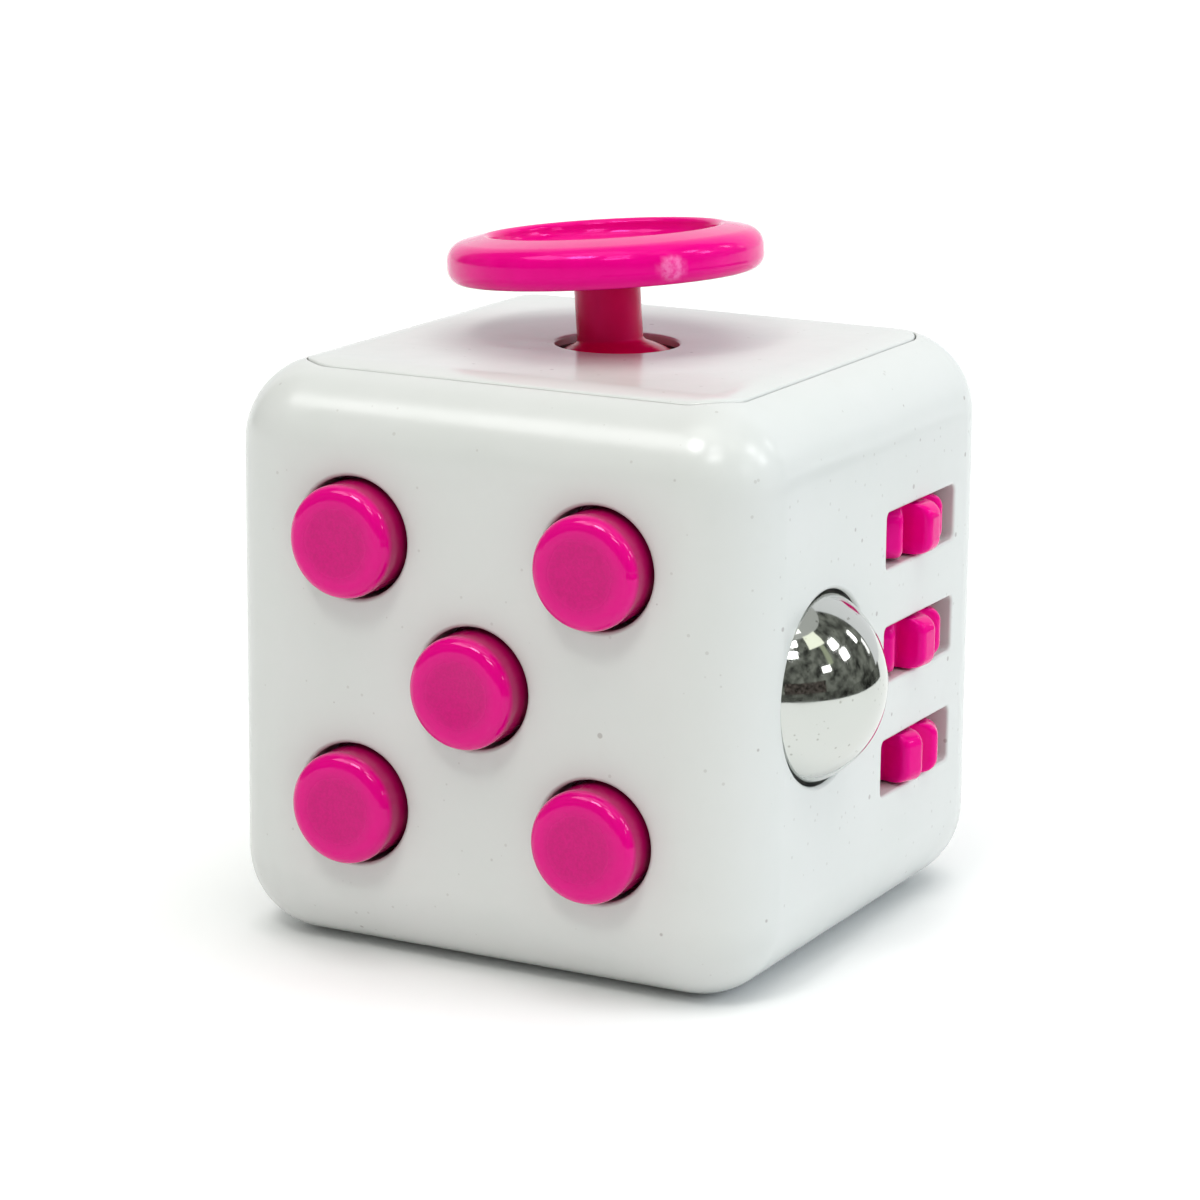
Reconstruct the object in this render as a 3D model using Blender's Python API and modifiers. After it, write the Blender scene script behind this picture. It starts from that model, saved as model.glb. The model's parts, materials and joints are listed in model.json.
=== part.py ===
"""Fidget cube: a white housing with push buttons, a clicking ball, three thumb wheels, a tilting
joystick, a rocker switch and a dial, as separate pieces.

The origin is the middle of the base, +Z is up, -Y is the button face and +X the ball-and-wheel face.
All dimensions below are in millimetres. The helpers turn them into metres.
"""
import math

import bmesh
import bpy
from mathutils import Euler, Vector

MM = 0.001

# ---- Housing ----
BODY = 33.0
HALF = BODY / 2
EDGE_RADIUS = 4.8
WALL = 2.5
INNER = HALF - WALL
CAVITY_CORNER = 2.5
MID = BODY / 2
COVER_HALF = 13.35
COVER_CORNER = 3.0
COVER_GAP = 0.2
COVER_THICKNESS = 2.1
LIP = 2.3
RUNNING_GAP = 0.25
TOUCH_GAP = 0.3
OVER = 1.0
CUT_LOW = -4.0
CUT_HIGH = 2.0
TAB_INNER = 11.9
TAB_OUTER = 13.1
TAB_HOOK = 13.7
TAB_TIP = 12.9
TAB_LENGTH = 2.9
TAB_CATCH = 0.8
TAB_CHAMFER = 0.2
TAB_ROOT = 0.4
TAB_HALF = 2.0
BLIND_BORE = 0.6
SCREW_BORE = 0.65
SCREW_GAP = 0.1

# ---- Push buttons (front face) ----
BUTTON_X = 7.5
BUTTON_Z = 7.5
CAP_RADIUS = 3.15
CAP_HEIGHT = 1.8
CAP_SHOULDER = 0.6
CAP_ROOF = 0.1
CAP_FLANGE_RADIUS = 3.8
CAP_FLANGE = 0.8
CAP_HOLLOW = 2.3
PLUNGER_RADIUS = 0.7
PLUNGER_GAP = 0.4
PLATE_FRONT = -11.3
PLATE_BACK = -10.1
PLATE_HALF = 13.4
PLATE_LOW = 4.4
PLATE_HIGH = 29.6
NOTCH_X = 5.5
NOTCH_HALF = 5.3
DOME_RADIUS = 2.0
DOME_HEIGHT = 0.85
DOME_SHEET = 0.14
DOME_GAP = 0.2
BUTTON_COIL = 1.6
BUTTON_WIRE = 0.2
BUTTONS = (
    ("top_left", -1, 1, False),
    ("top_right", 1, 1, True),
    ("centre", 0, 0, True),
    ("bottom_left", -1, -1, True),
    ("bottom_right", 1, -1, False),
)

# ---- Ball (right face) ----
BALL_RADIUS = 5.75
BALL_STAND = 3.2
BALL_X = HALF + BALL_STAND - BALL_RADIUS
BALL_Y = -6.83
BALL_Z = MID
BALL_SOCKET = 5.98
SOCKET_BACK = -2.0
BALL_COIL = 2.1
BALL_WIRE = 0.25
COIL_GAP = 0.15
CUP_RADIUS = 5.2
CUP_BACK = 6.9
CUP_FLOOR = 7.8
CUP_FRONT = 10.0
CUP_STEM_RADIUS = 1.2
CUP_STEM_END = 2.0
RING_BACK = 8.1
RING_RADIUS = 4.3
RING_BORE = 2.6
RING_GAP = 0.2
GUIDE_GAP = 0.25
BALL_WALL_LOW = 2.6
BALL_WALL_HIGH = 3.8

# ---- Thumb wheels (right face) ----
WHEEL_RADIUS = 4.4
WHEEL_STAND = 1.0
WHEEL_THICKNESS = 2.9
WHEEL_ROOT = 2.7
LUG_COUNT = 8
LUG_HALF = 0.82
LUG_CORNER = 0.5
WHEEL_X = HALF + WHEEL_STAND - WHEEL_RADIUS
WHEEL_Y = 5.66
WHEEL_PITCH = 6.57
WHEELS = (("bottom", MID - WHEEL_PITCH, 24.0), ("middle", MID, 38.4), ("top", MID + WHEEL_PITCH, 43.0))
WINDOW_HALF_Y = 4.7
WINDOW_HALF_Z = 1.6
WINDOW_CORNER = 0.35
AXLE_RADIUS = 0.7
AXLE_BORE = 0.85
CARRIER_MARGIN = 1.7
CARRIER_Y = (1.5, 9.8)
ARM_Y = (3.6, 7.3)
END_ARM = 1.2
ARM_BITE = 0.4
AXLE_GAP = 0.12
CARRIER_BACK = 7.2
CARRIER_FRONT = 8.3
CARRIER_REACH = 14.5
CARRIER_SCREWS = {"lower": (8.5, MID - WHEEL_PITCH / 2), "upper": (8.5, MID + WHEEL_PITCH / 2)}
ARM_THICKNESS = 1.8
POCKET_X = 14.8
POCKET_Y = (0.3, 11.2)
POCKET_MARGIN = 3.9

# ---- Joystick (top face) ----
PIVOT_Z = 27.0
TILT_X = math.radians(-1.5)
TILT_Y = math.radians(-5.0)
STEM_RADIUS = 1.88
STEM_TOP = 10.6
FOOT_RADIUS = 6.1
FOOT_SOCKET = 2.55
FOOT_EDGE = math.radians(81)
PIVOT_BALL = 2.25
DISC_RADIUS = 8.95
DISC_THICKNESS = 2.65
DISC_BOTTOM = 9.7
DISC_OPENING = 6.45
DISC_CREST = 0.35
DISC_SHOULDER = 1.1
DISC_CORNER = 0.85
DISC_SLOPE = 77
DISC_DROP = 0.25
DISC_FLOOR = ((0, 1.3), (DISC_OPENING - 1.3, 1.4), (DISC_OPENING - 0.3, 1.8))
STEM_GAP = 0.12
STEM_END_GAP = 0.2
HOLE_RADIUS = 3.52
DISH_RADIUS = 10.8
DISH_DEPTH = 0.1
FOOT_SEAT = 6.4
SEAT_BOSS_RADIUS = 7.3
SEAT_BOSS_LOW = 28.4
SEAT_BOSS_BITE = 1.2
SEAT_RADIUS = 3.1
SEAT_TOP = 26.2
SEAT_BOTTOM = 19.5
TOWER_BORE = 3.3
TOWER_RADIUS = 4.3
TOWER_TOP = 22.0
TOWER_FLOOR = 12.0
TOWER_COIL = 2.3
TOWER_WIRE = 0.3
TOWER_COIL_GAP = 0.2

# ---- Rocker switch (back face) ----
ROCKER_Y = 14.5
ROCKER_RADIUS = 7.2
ROCKER_HALF_X = 4.4
ROCKER_VALLEY = 2.2
ROCKER_SLOPE = math.radians(12)
ROCKER_PIN = 0.6
ROCKER_BORE = 0.75
ROCKER_END = -12
ROCKER_NUB = (4.0, -1.6, 1.0)
ROCKER_PIN_HALF = 6.4
OPENING_HALF_Z = 7.5
OPENING_HALF_X = 4.7
OPENING_CORNER = 0.6
GROOVE_REACH = 2.0
GROOVE_BACK = 15.25
SPRING_FOOT = 9.8
SPRING_CREST = 11.45
SPRING_STRIP = 0.25
SPRING_HALF = 2.0
SPRING_STATIONS = (6.0, 4.2, 1.0)

# ---- Dial (bottom face) ----
DIAL_RADIUS = 9.5
DIAL_FACE = 0.3
DIAL_BACK = 2.2
DIAL_EDGE = 0.5
DIAL_FLOOR = 2.5
BOSS_TOP = 4.0
BOSS_MARGIN = 1.6
HUB_RADIUS = 1.8
DIMPLE_RADIUS = 3.0
DIMPLE_DEPTH = 1.0
DIMPLE_AT = 5.4
DIAL_BORE_FLOOR = 2.45
WASHER_LOW = 4.4
WASHER_HIGH = 4.95
WASHER_RADIUS = 3.4
WASHER_BORE = 0.75
DIAL_SCREW_Z = 5.05

# ---- Thumb rest (left face) ----
REST_RADIUS = 9.0
REST_DEPTH = 1.3

# ---- Core frame ----
DECK_LOW = 5.4
DECK_HIGH = 6.4
DECK_HALF = 12.9
DECK_FRONT = -9.8
POST = 2.1
DECK_BITE = 0.5
BALL_WALL_END = -4.6
BALL_WALL_TOP = 22.0
BOSS_LOW = (1.0, DECK_FRONT)
BOSS_HIGH = (3.4, -6.4, 10.2)
CARRIER_WALL_X = (5.6, 6.9)
CARRIER_WALL_TOP = 26.0
ROCKER_WALL_LOW = (-3.2, 8.2)
ROCKER_WALL_HIGH = (3.2, 9.5, 23.2)
DIAL_ROOM = 3.8
DIAL_ROOM_TOP = 8.5
PLATE_SCREW_DEPTH = 2.0
PLATE_SCREWS = {"left": (-11.85, MID), "right": (2.2, 8.6)}

# ---- Fineness of the meshes ----
LENS_RINGS = 4
COIL_STEPS = 9

TURN = {
    "Z": Euler((0, 0, 0)),
    "-Z": Euler((math.pi, 0, 0)),
    "X": Euler((0, math.pi / 2, 0)),
    "-X": Euler((0, -math.pi / 2, 0)),
    "Y": Euler((-math.pi / 2, 0, 0)),
    "-Y": Euler((math.pi / 2, 0, 0)),
}


def clear_scene():
    """Remove whatever the open file holds."""
    for obj in list(bpy.data.objects):
        bpy.data.objects.remove(obj, do_unlink=True)


def new_collection(name):
    """Make a collection in the scene."""
    collection = bpy.data.collections.new(name)
    bpy.context.scene.collection.children.link(collection)
    return collection


def new_material(name, colour, roughness, metallic=0.0):
    """Make a Principled material."""
    material = bpy.data.materials.new(name)
    material.use_nodes = True
    shader = material.node_tree.nodes["Principled BSDF"]
    shader.inputs["Base Color"].default_value = (*colour, 1.0)
    shader.inputs["Roughness"].default_value = roughness
    shader.inputs["Metallic"].default_value = metallic
    material.diffuse_color = (*colour, 1.0)
    return material


clear_scene()
PARTS = new_collection("Fidget cube")
TOOLS = new_collection("Cutters")
WHITE = new_material("white_abs", (0.83, 0.83, 0.82), 0.25)
PINK = new_material("pink_abs", (0.85, 0.02, 0.36), 0.3)
CHROME = new_material("chrome", (0.82, 0.82, 0.82), 0.08, 1.0)
STEEL = new_material("spring_steel", (0.55, 0.55, 0.56), 0.3, 1.0)
GREY = new_material("inner_plastic", (0.6, 0.6, 0.6), 0.5)
ACETAL = new_material("acetal", (0.9, 0.9, 0.88), 0.4)


def add_object(name, data, material):
    """Link an object. One without a material is a tool that cuts or joins another."""
    obj = bpy.data.objects.new(name, data)
    if material is None:
        TOOLS.objects.link(obj)
        obj.hide_render = True
        obj.display_type = "WIRE"
    else:
        PARTS.objects.link(obj)
        data.materials.append(material)
    return obj


def place(obj, at, axis="Z"):
    """Put an object at a point in millimetres, with its own Z along the named axis."""
    obj.location = Vector(at) * MM
    obj.rotation_euler = TURN[axis]
    return obj


def box(name, low, high, material=None):
    """Box between two corners."""
    low = Vector(low)
    high = Vector(high)
    bm = bmesh.new()
    bmesh.ops.create_cube(bm, size=1.0)
    bmesh.ops.scale(bm, vec=(high - low) * MM, verts=bm.verts)
    mesh = bpy.data.meshes.new(name)
    bm.to_mesh(mesh)
    bm.free()
    return place(add_object(name, mesh, material), (low + high) / 2)


def turned(name, profile, at, material=None, axis="Z", steps=24):
    """Turn a profile of (radius, height) points about its own Z. The outer side runs downwards."""
    links = [(i, i + 1) for i in range(len(profile) - 1)]
    if max(profile[0][0], profile[-1][0]) > 0.001:
        links.append((len(profile) - 1, 0))
    mesh = bpy.data.meshes.new(name)
    mesh.from_pydata([(r * MM, 0, h * MM) for r, h in profile], links, [])
    obj = place(add_object(name, mesh, material), at, axis)
    screw = obj.modifiers.new("Turn", "SCREW")
    screw.steps = steps
    screw.render_steps = steps
    screw.use_merge_vertices = True
    screw.merge_threshold = 0.00001
    screw.use_smooth_shade = False
    return obj


def cylinder(name, radius, low, high, at, material=None, axis="Z", steps=24):
    """Solid cylinder from height low to height high along its own Z."""
    profile = [(0, high), (radius, high), (radius, low), (0, low)]
    return turned(name, profile, at, material, axis, steps)


def arc(centre, radius, start, end, steps):
    """Points on an arc, angles in degrees from the first axis towards the second."""
    points = []
    for i in range(steps + 1):
        angle = math.radians(start + (end - start) * i / steps)
        points.append((centre[0] + radius * math.cos(angle), centre[1] + radius * math.sin(angle)))
    return points


def circle(radius, steps):
    """Points round a circle."""
    return arc((0, 0), radius, 0, 360, steps)[:-1]


def solid_from_curve(name, curve, material):
    """Make a closed mesh object from a curve, with its caps welded on."""
    source = bpy.data.objects.new(name + "_curve", curve)
    PARTS.objects.link(source)
    bpy.context.view_layer.update()
    graph = bpy.context.evaluated_depsgraph_get()
    mesh = bpy.data.meshes.new_from_object(source.evaluated_get(graph))
    bpy.data.objects.remove(source, do_unlink=True)
    bm = bmesh.new()
    bm.from_mesh(mesh)
    bmesh.ops.remove_doubles(bm, verts=bm.verts, dist=0.000001)
    bmesh.ops.recalc_face_normals(bm, faces=bm.faces)
    bm.to_mesh(mesh)
    bm.free()
    mesh.name = name
    mesh.materials.clear()
    return add_object(name, mesh, material)


def slab(name, outline, low, high, at, material=None, axis="Z", hole=None):
    """Extrude a flat outline, less an optional hole, along its own Z from height low to height high."""
    curve = bpy.data.curves.new(name, "CURVE")
    curve.dimensions = "2D"
    curve.fill_mode = "BOTH"
    curve.extrude = (high - low) / 2 * MM
    for loop in (outline, hole) if hole else (outline,):
        spline = curve.splines.new("POLY")
        spline.points.add(len(loop) - 1)
        for point, (u, v) in zip(spline.points, loop):
            point.co = (u * MM, v * MM, 0, 1)
        spline.use_cyclic_u = True
    obj = solid_from_curve(name, curve, material)
    for vertex in obj.data.vertices:
        vertex.co.z += (high + low) / 2 * MM
    return place(obj, at, axis)


def rounded_rectangle(half_u, half_v, radius, steps=4):
    """Outline of a rectangle with round corners, centred on its origin."""
    points = []
    for quarter, (su, sv) in enumerate(((1, 1), (-1, 1), (-1, -1), (1, -1))):
        centre = (su * (half_u - radius), sv * (half_v - radius))
        points += arc(centre, radius, 90 * quarter, 90 * quarter + 90, steps)
    return points


def coil(name, radius, wire, length, turns, at, axis):
    """Coil spring that starts at a point and runs along the named axis."""
    curve = bpy.data.curves.new(name, "CURVE")
    curve.dimensions = "3D"
    curve.bevel_depth = wire * MM
    curve.bevel_resolution = 2
    curve.use_fill_caps = True
    spline = curve.splines.new("POLY")
    count = turns * COIL_STEPS
    spline.points.add(count)
    for i, point in enumerate(spline.points):
        angle = 2 * math.pi * i / COIL_STEPS
        height = wire + (length - 2 * wire) * i / count
        point.co = (radius * math.cos(angle) * MM, radius * math.sin(angle) * MM, height * MM, 1)
    return place(solid_from_curve(name, curve, STEEL), at, axis)


def combine(obj, operation, tools):
    """Cut, join or trim an object by its tools."""
    for tool in tools:
        boolean = obj.modifiers.new(tool.name, "BOOLEAN")
        boolean.operation = operation
        boolean.solver = "EXACT"
        boolean.object = tool
    return obj


def cut(obj, *tools):
    """Take the tools away from an object."""
    return combine(obj, "DIFFERENCE", tools)


def join(obj, *tools):
    """Add the tools to an object."""
    return combine(obj, "UNION", tools)


def rounded_block(name, material):
    """The cube's outer form: a block with every edge and corner rounded."""
    obj = box(name, (-HALF, -HALF, 0), (HALF, HALF, BODY), material)
    bevel = obj.modifiers.new("Edges", "BEVEL")
    bevel.width = EDGE_RADIUS * MM
    bevel.segments = 5
    bevel.limit_method = "NONE"
    return obj


def lens(name, radius, depth, over, at, axis, steps=28):
    """Shallow spherical cutter: depth below its own XY plane, and a rim that stands over it."""
    ball = (radius * radius + depth * depth) / (2 * depth)
    profile = [(0, over), (radius, over)]
    for i in range(LENS_RINGS + 1):
        r = radius * (1 - i / LENS_RINGS)
        profile.append((r, ball - depth - math.sqrt(ball * ball - r * r)))
    return turned(name, profile, at, None, axis, steps)


def button_centre(side, row):
    """Middle of a button on the front face."""
    return (side * BUTTON_X, -HALF, MID + row * BUTTON_Z)


def make_housing():
    """White square tube with its lips, holes and windows."""
    housing = rounded_block("main_housing", WHITE)
    opening = rounded_rectangle(COVER_HALF + COVER_GAP, COVER_HALF + COVER_GAP, COVER_CORNER + COVER_GAP)
    cavity = rounded_rectangle(INNER, INNER, CAVITY_CORNER)
    cut(
        housing,
        slab("cavity", cavity, LIP, BODY - LIP, (0, 0, 0)),
        slab("opening_top", opening, BODY - LIP - OVER, BODY + OVER, (0, 0, 0)),
        slab("opening_bottom", opening, -OVER, LIP + OVER, (0, 0, 0)),
    )
    for name, side, row, _ in BUTTONS:
        at = button_centre(side, row)
        cut(housing, cylinder("hole_" + name, CAP_RADIUS + RUNNING_GAP, CUT_LOW, CUT_HIGH, at, None, "-Y"))
    socket = [(0, BALL_SOCKET)] + arc((0, 0), BALL_SOCKET, 80, 0, 7)
    socket += [(BALL_SOCKET, SOCKET_BACK), (0, SOCKET_BACK)]
    cut(housing, turned("ball_socket", socket, (BALL_X, BALL_Y, BALL_Z), None, "X", 28))
    low = WHEELS[0][1] - POCKET_MARGIN
    high = WHEELS[2][1] + POCKET_MARGIN
    cut(housing, box("wheel_recess", (INNER - OVER, POCKET_Y[0], low), (POCKET_X, POCKET_Y[1], high)))
    for name, z, _ in WHEELS:
        window = rounded_rectangle(WINDOW_HALF_Z, WINDOW_HALF_Y, WINDOW_CORNER, 2)
        cut(housing, slab("window_" + name, window, CUT_LOW, CUT_HIGH, (HALF, WHEEL_Y, z), None, "X"))
    cut(housing, lens("thumb_rest", REST_RADIUS, REST_DEPTH, OVER, (-HALF, 0, MID), "-X"))
    rocker_hole = rounded_rectangle(OPENING_HALF_X, OPENING_HALF_Z, OPENING_CORNER, 2)
    cut(housing, slab("rocker_hole", rocker_hole, CUT_LOW, CUT_HIGH, (0, HALF, MID), None, "Y"))
    reach = OPENING_HALF_X + GROOVE_REACH
    groove_low = (-reach, INNER - OVER, MID - ROCKER_BORE)
    groove_high = (reach, GROOVE_BACK, MID + ROCKER_BORE)
    cut(housing, box("pin_groove", groove_low, groove_high))
    return housing


def snap_tabs(owner, z, up):
    """Four snap tabs that hook behind the housing's lip. up is 1 below the top cover, -1 on the bottom."""
    root = z + up * TAB_ROOT
    tip = z - up * TAB_LENGTH
    hook = z - up * TAB_CATCH
    outline = [(TAB_INNER, root), (TAB_OUTER, root), (TAB_OUTER, hook)]
    outline += [(TAB_HOOK, hook - up * TAB_CHAMFER), (TAB_TIP, tip), (TAB_INNER, tip)]
    for i, angle in enumerate((0, 90, 180, 270)):
        tab = slab(owner.name + "_tab_" + str(i), outline, -TAB_HALF, TAB_HALF, (0, 0, 0))
        tab.rotation_euler = Euler((math.pi / 2, 0, math.radians(angle)))
        join(owner, tab)


def make_top_panel():
    """Top cover with its shallow dish and the joystick's hole and seat."""
    panel = rounded_block("top_panel", WHITE)
    outline = rounded_rectangle(COVER_HALF, COVER_HALF, COVER_CORNER)
    trim = slab("top_outline", outline, BODY - COVER_THICKNESS, BODY + OVER, (0, 0, 0))
    combine(panel, "INTERSECT", [trim])
    snap_tabs(panel, BODY - COVER_THICKNESS, 1)
    boss_top = BODY - SEAT_BOSS_BITE
    join(panel, cylinder("seat_boss", SEAT_BOSS_RADIUS, SEAT_BOSS_LOW, boss_top, (0, 0, 0), None, "Z", 28))
    meet = math.degrees(math.acos(HOLE_RADIUS / FOOT_SEAT))
    bore = [(0, BODY - PIVOT_Z + OVER), (HOLE_RADIUS, BODY - PIVOT_Z + OVER)]
    bore += arc((0, 0), FOOT_SEAT, meet, 8, 5) + [(FOOT_SEAT, 0), (0, 0)]
    cut(
        panel,
        lens("joystick_dish", DISH_RADIUS, DISH_DEPTH, OVER, (0, 0, BODY), "Z", 36),
        turned("joystick_seat", bore, (0, 0, PIVOT_Z), None, "Z", 28),
    )
    return panel


def make_bottom_panel():
    """Bottom cover with the dial's pocket and bearing."""
    panel = rounded_block("bottom_panel", WHITE)
    outline = rounded_rectangle(COVER_HALF, COVER_HALF, COVER_CORNER)
    combine(panel, "INTERSECT", [slab("bottom_outline", outline, -OVER, COVER_THICKNESS, (0, 0, 0))])
    snap_tabs(panel, COVER_THICKNESS, -1)
    boss_radius = DIAL_RADIUS + BOSS_MARGIN
    join(panel, cylinder("dial_boss", boss_radius, OVER, BOSS_TOP, (0, 0, 0), None, "Z", 28))
    cut(
        panel,
        cylinder("dial_pocket", DIAL_RADIUS + TOUCH_GAP, -OVER, DIAL_FLOOR, (0, 0, 0), None, "Z", 36),
        cylinder("dial_bearing", HUB_RADIUS + RUNNING_GAP, OVER, BOSS_TOP + OVER, (0, 0, 0)),
    )
    return panel


def make_button(name, side, row, clicks):
    """Hollow button cap with a flange behind the wall. A clicking one has a plunger."""
    back = -WALL - TOUCH_GAP
    profile = [(0, CAP_HEIGHT)]
    shoulder = (CAP_RADIUS - CAP_SHOULDER, CAP_HEIGHT - CAP_SHOULDER)
    profile += arc(shoulder, CAP_SHOULDER, 90, 0, 3)
    profile += [(CAP_RADIUS, back), (CAP_FLANGE_RADIUS, back), (CAP_FLANGE_RADIUS, back - CAP_FLANGE)]
    profile += [(CAP_HOLLOW, back - CAP_FLANGE), (CAP_HOLLOW, CAP_ROOF)]
    if clicks:
        tip = -(HALF + PLATE_FRONT) + DOME_HEIGHT + PLUNGER_GAP
        profile += [(PLUNGER_RADIUS, CAP_ROOF), (PLUNGER_RADIUS, tip), (0, tip)]
    else:
        profile.append((0, CAP_ROOF))
    return turned("button_" + name, profile, button_centre(side, row), PINK, "-Y", 22)


def make_click_dome(name, side, row):
    """Snap dome on the button plate."""
    ball = (DOME_RADIUS ** 2 + DOME_HEIGHT ** 2) / (2 * DOME_HEIGHT)
    edge = math.degrees(math.acos(DOME_RADIUS / ball))
    outer = arc((0, DOME_HEIGHT - ball), ball, 90, edge, 3)
    inner = arc((0, DOME_HEIGHT - ball), ball - DOME_SHEET, edge, 90, 3)
    x, _, z = button_centre(side, row)
    base = PLATE_FRONT - DOME_GAP
    return turned("click_dome_" + name, outer + inner, (x, base, z), STEEL, "-Y", 16)


def make_button_plate():
    """Plate behind the buttons, notched for the ball's cup."""
    low = (-PLATE_HALF, PLATE_FRONT, PLATE_LOW)
    plate = box("button_plate", low, (PLATE_HALF, PLATE_BACK, PLATE_HIGH), GREY)
    notch_low = (NOTCH_X, PLATE_FRONT - OVER, BALL_Z - NOTCH_HALF)
    notch_high = (PLATE_HALF + OVER, PLATE_BACK + OVER, BALL_Z + NOTCH_HALF)
    cut(plate, box("ball_notch", notch_low, notch_high))
    for name, (x, z) in PLATE_SCREWS.items():
        at = (x, PLATE_BACK, z)
        cut(plate, cylinder("plate_hole_" + name, SCREW_BORE, CUT_LOW, CUT_HIGH, at, None, "Y", 12))
    return plate


def make_screw(name, at, axis, head=1.0, height=0.65, shank=0.48, length=3.4):
    """Small pan-head screw. Its head's underside is at the point and its shank runs against the axis."""
    profile = [(0, height), (head * 0.7, height), (head, height * 0.5), (head, 0)]
    profile += [(shank, 0), (shank, -length), (0, -length)]
    screw = turned(name, profile, at, STEEL, axis, 12)
    slot = box(name + "_slot", (-head * 1.2, -0.12, -0.2), (head * 1.2, 0.12, 0.6))
    slot.location = (0, 0, height * MM)
    slot.parent = screw
    return cut(screw, slot)


def make_ball_group():
    """Ball, its seat ring, its sliding cup and the spring behind it."""
    at = (BALL_X, BALL_Y, BALL_Z)
    sphere = arc((0, 0), BALL_RADIUS, 90, -90, 12)
    turned("ball", [(0, BALL_RADIUS)] + sphere[1:-1] + [(0, -BALL_RADIUS)], at, CHROME, "X", 24)
    seat = BALL_RADIUS + RING_GAP
    front = math.degrees(math.acos(RING_RADIUS / seat))
    inner = math.degrees(math.acos(RING_BORE / seat))
    back = RING_BACK - BALL_X
    ring = [(RING_RADIUS, back), (RING_BORE, back)] + arc((0, 0), seat, -inner, -front, 3)
    turned("ball_seat_ring", ring, at, ACETAL, "X", 20)
    start = (0, BALL_Y, BALL_Z)
    pocket = RING_RADIUS + RING_GAP
    cup = [(0, CUP_FLOOR), (pocket, CUP_FLOOR), (pocket, CUP_FRONT), (CUP_RADIUS, CUP_FRONT)]
    cup += [(CUP_RADIUS, CUP_BACK), (CUP_STEM_RADIUS, CUP_BACK), (CUP_STEM_RADIUS, CUP_STEM_END)]
    turned("ball_cup", cup + [(0, CUP_STEM_END)], start, ACETAL, "X", 20)
    length = CUP_BACK - BALL_WALL_HIGH - 2 * COIL_GAP
    coil("ball_spring", BALL_COIL, BALL_WIRE, length, 3, (BALL_WALL_HIGH + COIL_GAP, BALL_Y, BALL_Z), "X")


def lug_outline():
    """Outline of a wheel: a round root with evenly spaced lugs, their tips rounded."""
    points = []
    step = 2 * math.pi / LUG_COUNT
    root_angle = math.asin(LUG_HALF / WHEEL_ROOT)
    tip = WHEEL_RADIUS - LUG_CORNER
    side = LUG_HALF - LUG_CORNER
    lug = [(WHEEL_ROOT * math.cos(root_angle), -LUG_HALF)]
    lug += arc((tip, -side), LUG_CORNER, -90, 0, 3)
    lug += arc((tip, side), LUG_CORNER, 0, 90, 3)
    lug.append((WHEEL_ROOT * math.cos(root_angle), LUG_HALF))
    lug.append((WHEEL_ROOT * math.cos(step / 2), WHEEL_ROOT * math.sin(step / 2)))
    for i in range(LUG_COUNT):
        c = math.cos(i * step)
        s = math.sin(i * step)
        points += [(u * c - v * s, u * s + v * c) for u, v in lug]
    return points


def make_wheels():
    """Three notched wheels, their axle and the bracket that carries them."""
    for name, z, phase in WHEELS:
        half = WHEEL_THICKNESS / 2
        at = (WHEEL_X, WHEEL_Y, z)
        wheel = slab("wheel_" + name, lug_outline(), -half, half, at, PINK, "Z", circle(AXLE_BORE, 16))
        wheel.rotation_euler = (0, 0, math.radians(phase))
    low = WHEELS[0][1] - WHEEL_THICKNESS / 2 - CARRIER_MARGIN
    high = WHEELS[2][1] + WHEEL_THICKNESS / 2 + CARRIER_MARGIN
    axle_at = (WHEEL_X, WHEEL_Y, 0)
    cylinder("wheel_axle", AXLE_RADIUS, low + COVER_GAP, high - COVER_GAP, axle_at, STEEL, "Z", 16)
    near, far = CARRIER_Y
    carrier = box("wheel_carrier", (CARRIER_BACK, near, low), (CARRIER_FRONT, far, high), GREY)
    spans = [(low, low + END_ARM), (high - END_ARM, high)]
    for z in (WHEELS[0][1] + WHEEL_PITCH / 2, WHEELS[1][1] + WHEEL_PITCH / 2):
        spans.append((z - ARM_THICKNESS / 2, z + ARM_THICKNESS / 2))
    for i, (bottom, top) in enumerate(spans):
        arm_low = (CARRIER_FRONT - ARM_BITE, ARM_Y[0], bottom)
        join(carrier, box("arm_" + str(i), arm_low, (CARRIER_REACH, ARM_Y[1], top)))
    bore = AXLE_RADIUS + AXLE_GAP
    cut(carrier, cylinder("axle_bore", bore, low - OVER, high + OVER, axle_at, None, "Z", 16))
    for name, (y, z) in CARRIER_SCREWS.items():
        at = (CARRIER_FRONT, y, z)
        cut(carrier, cylinder("carrier_hole_" + name, SCREW_BORE, CUT_LOW, CUT_HIGH, at, None, "X", 12))
        make_screw("carrier_screw_" + name, (CARRIER_FRONT + SCREW_GAP, y, z), "X")


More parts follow.
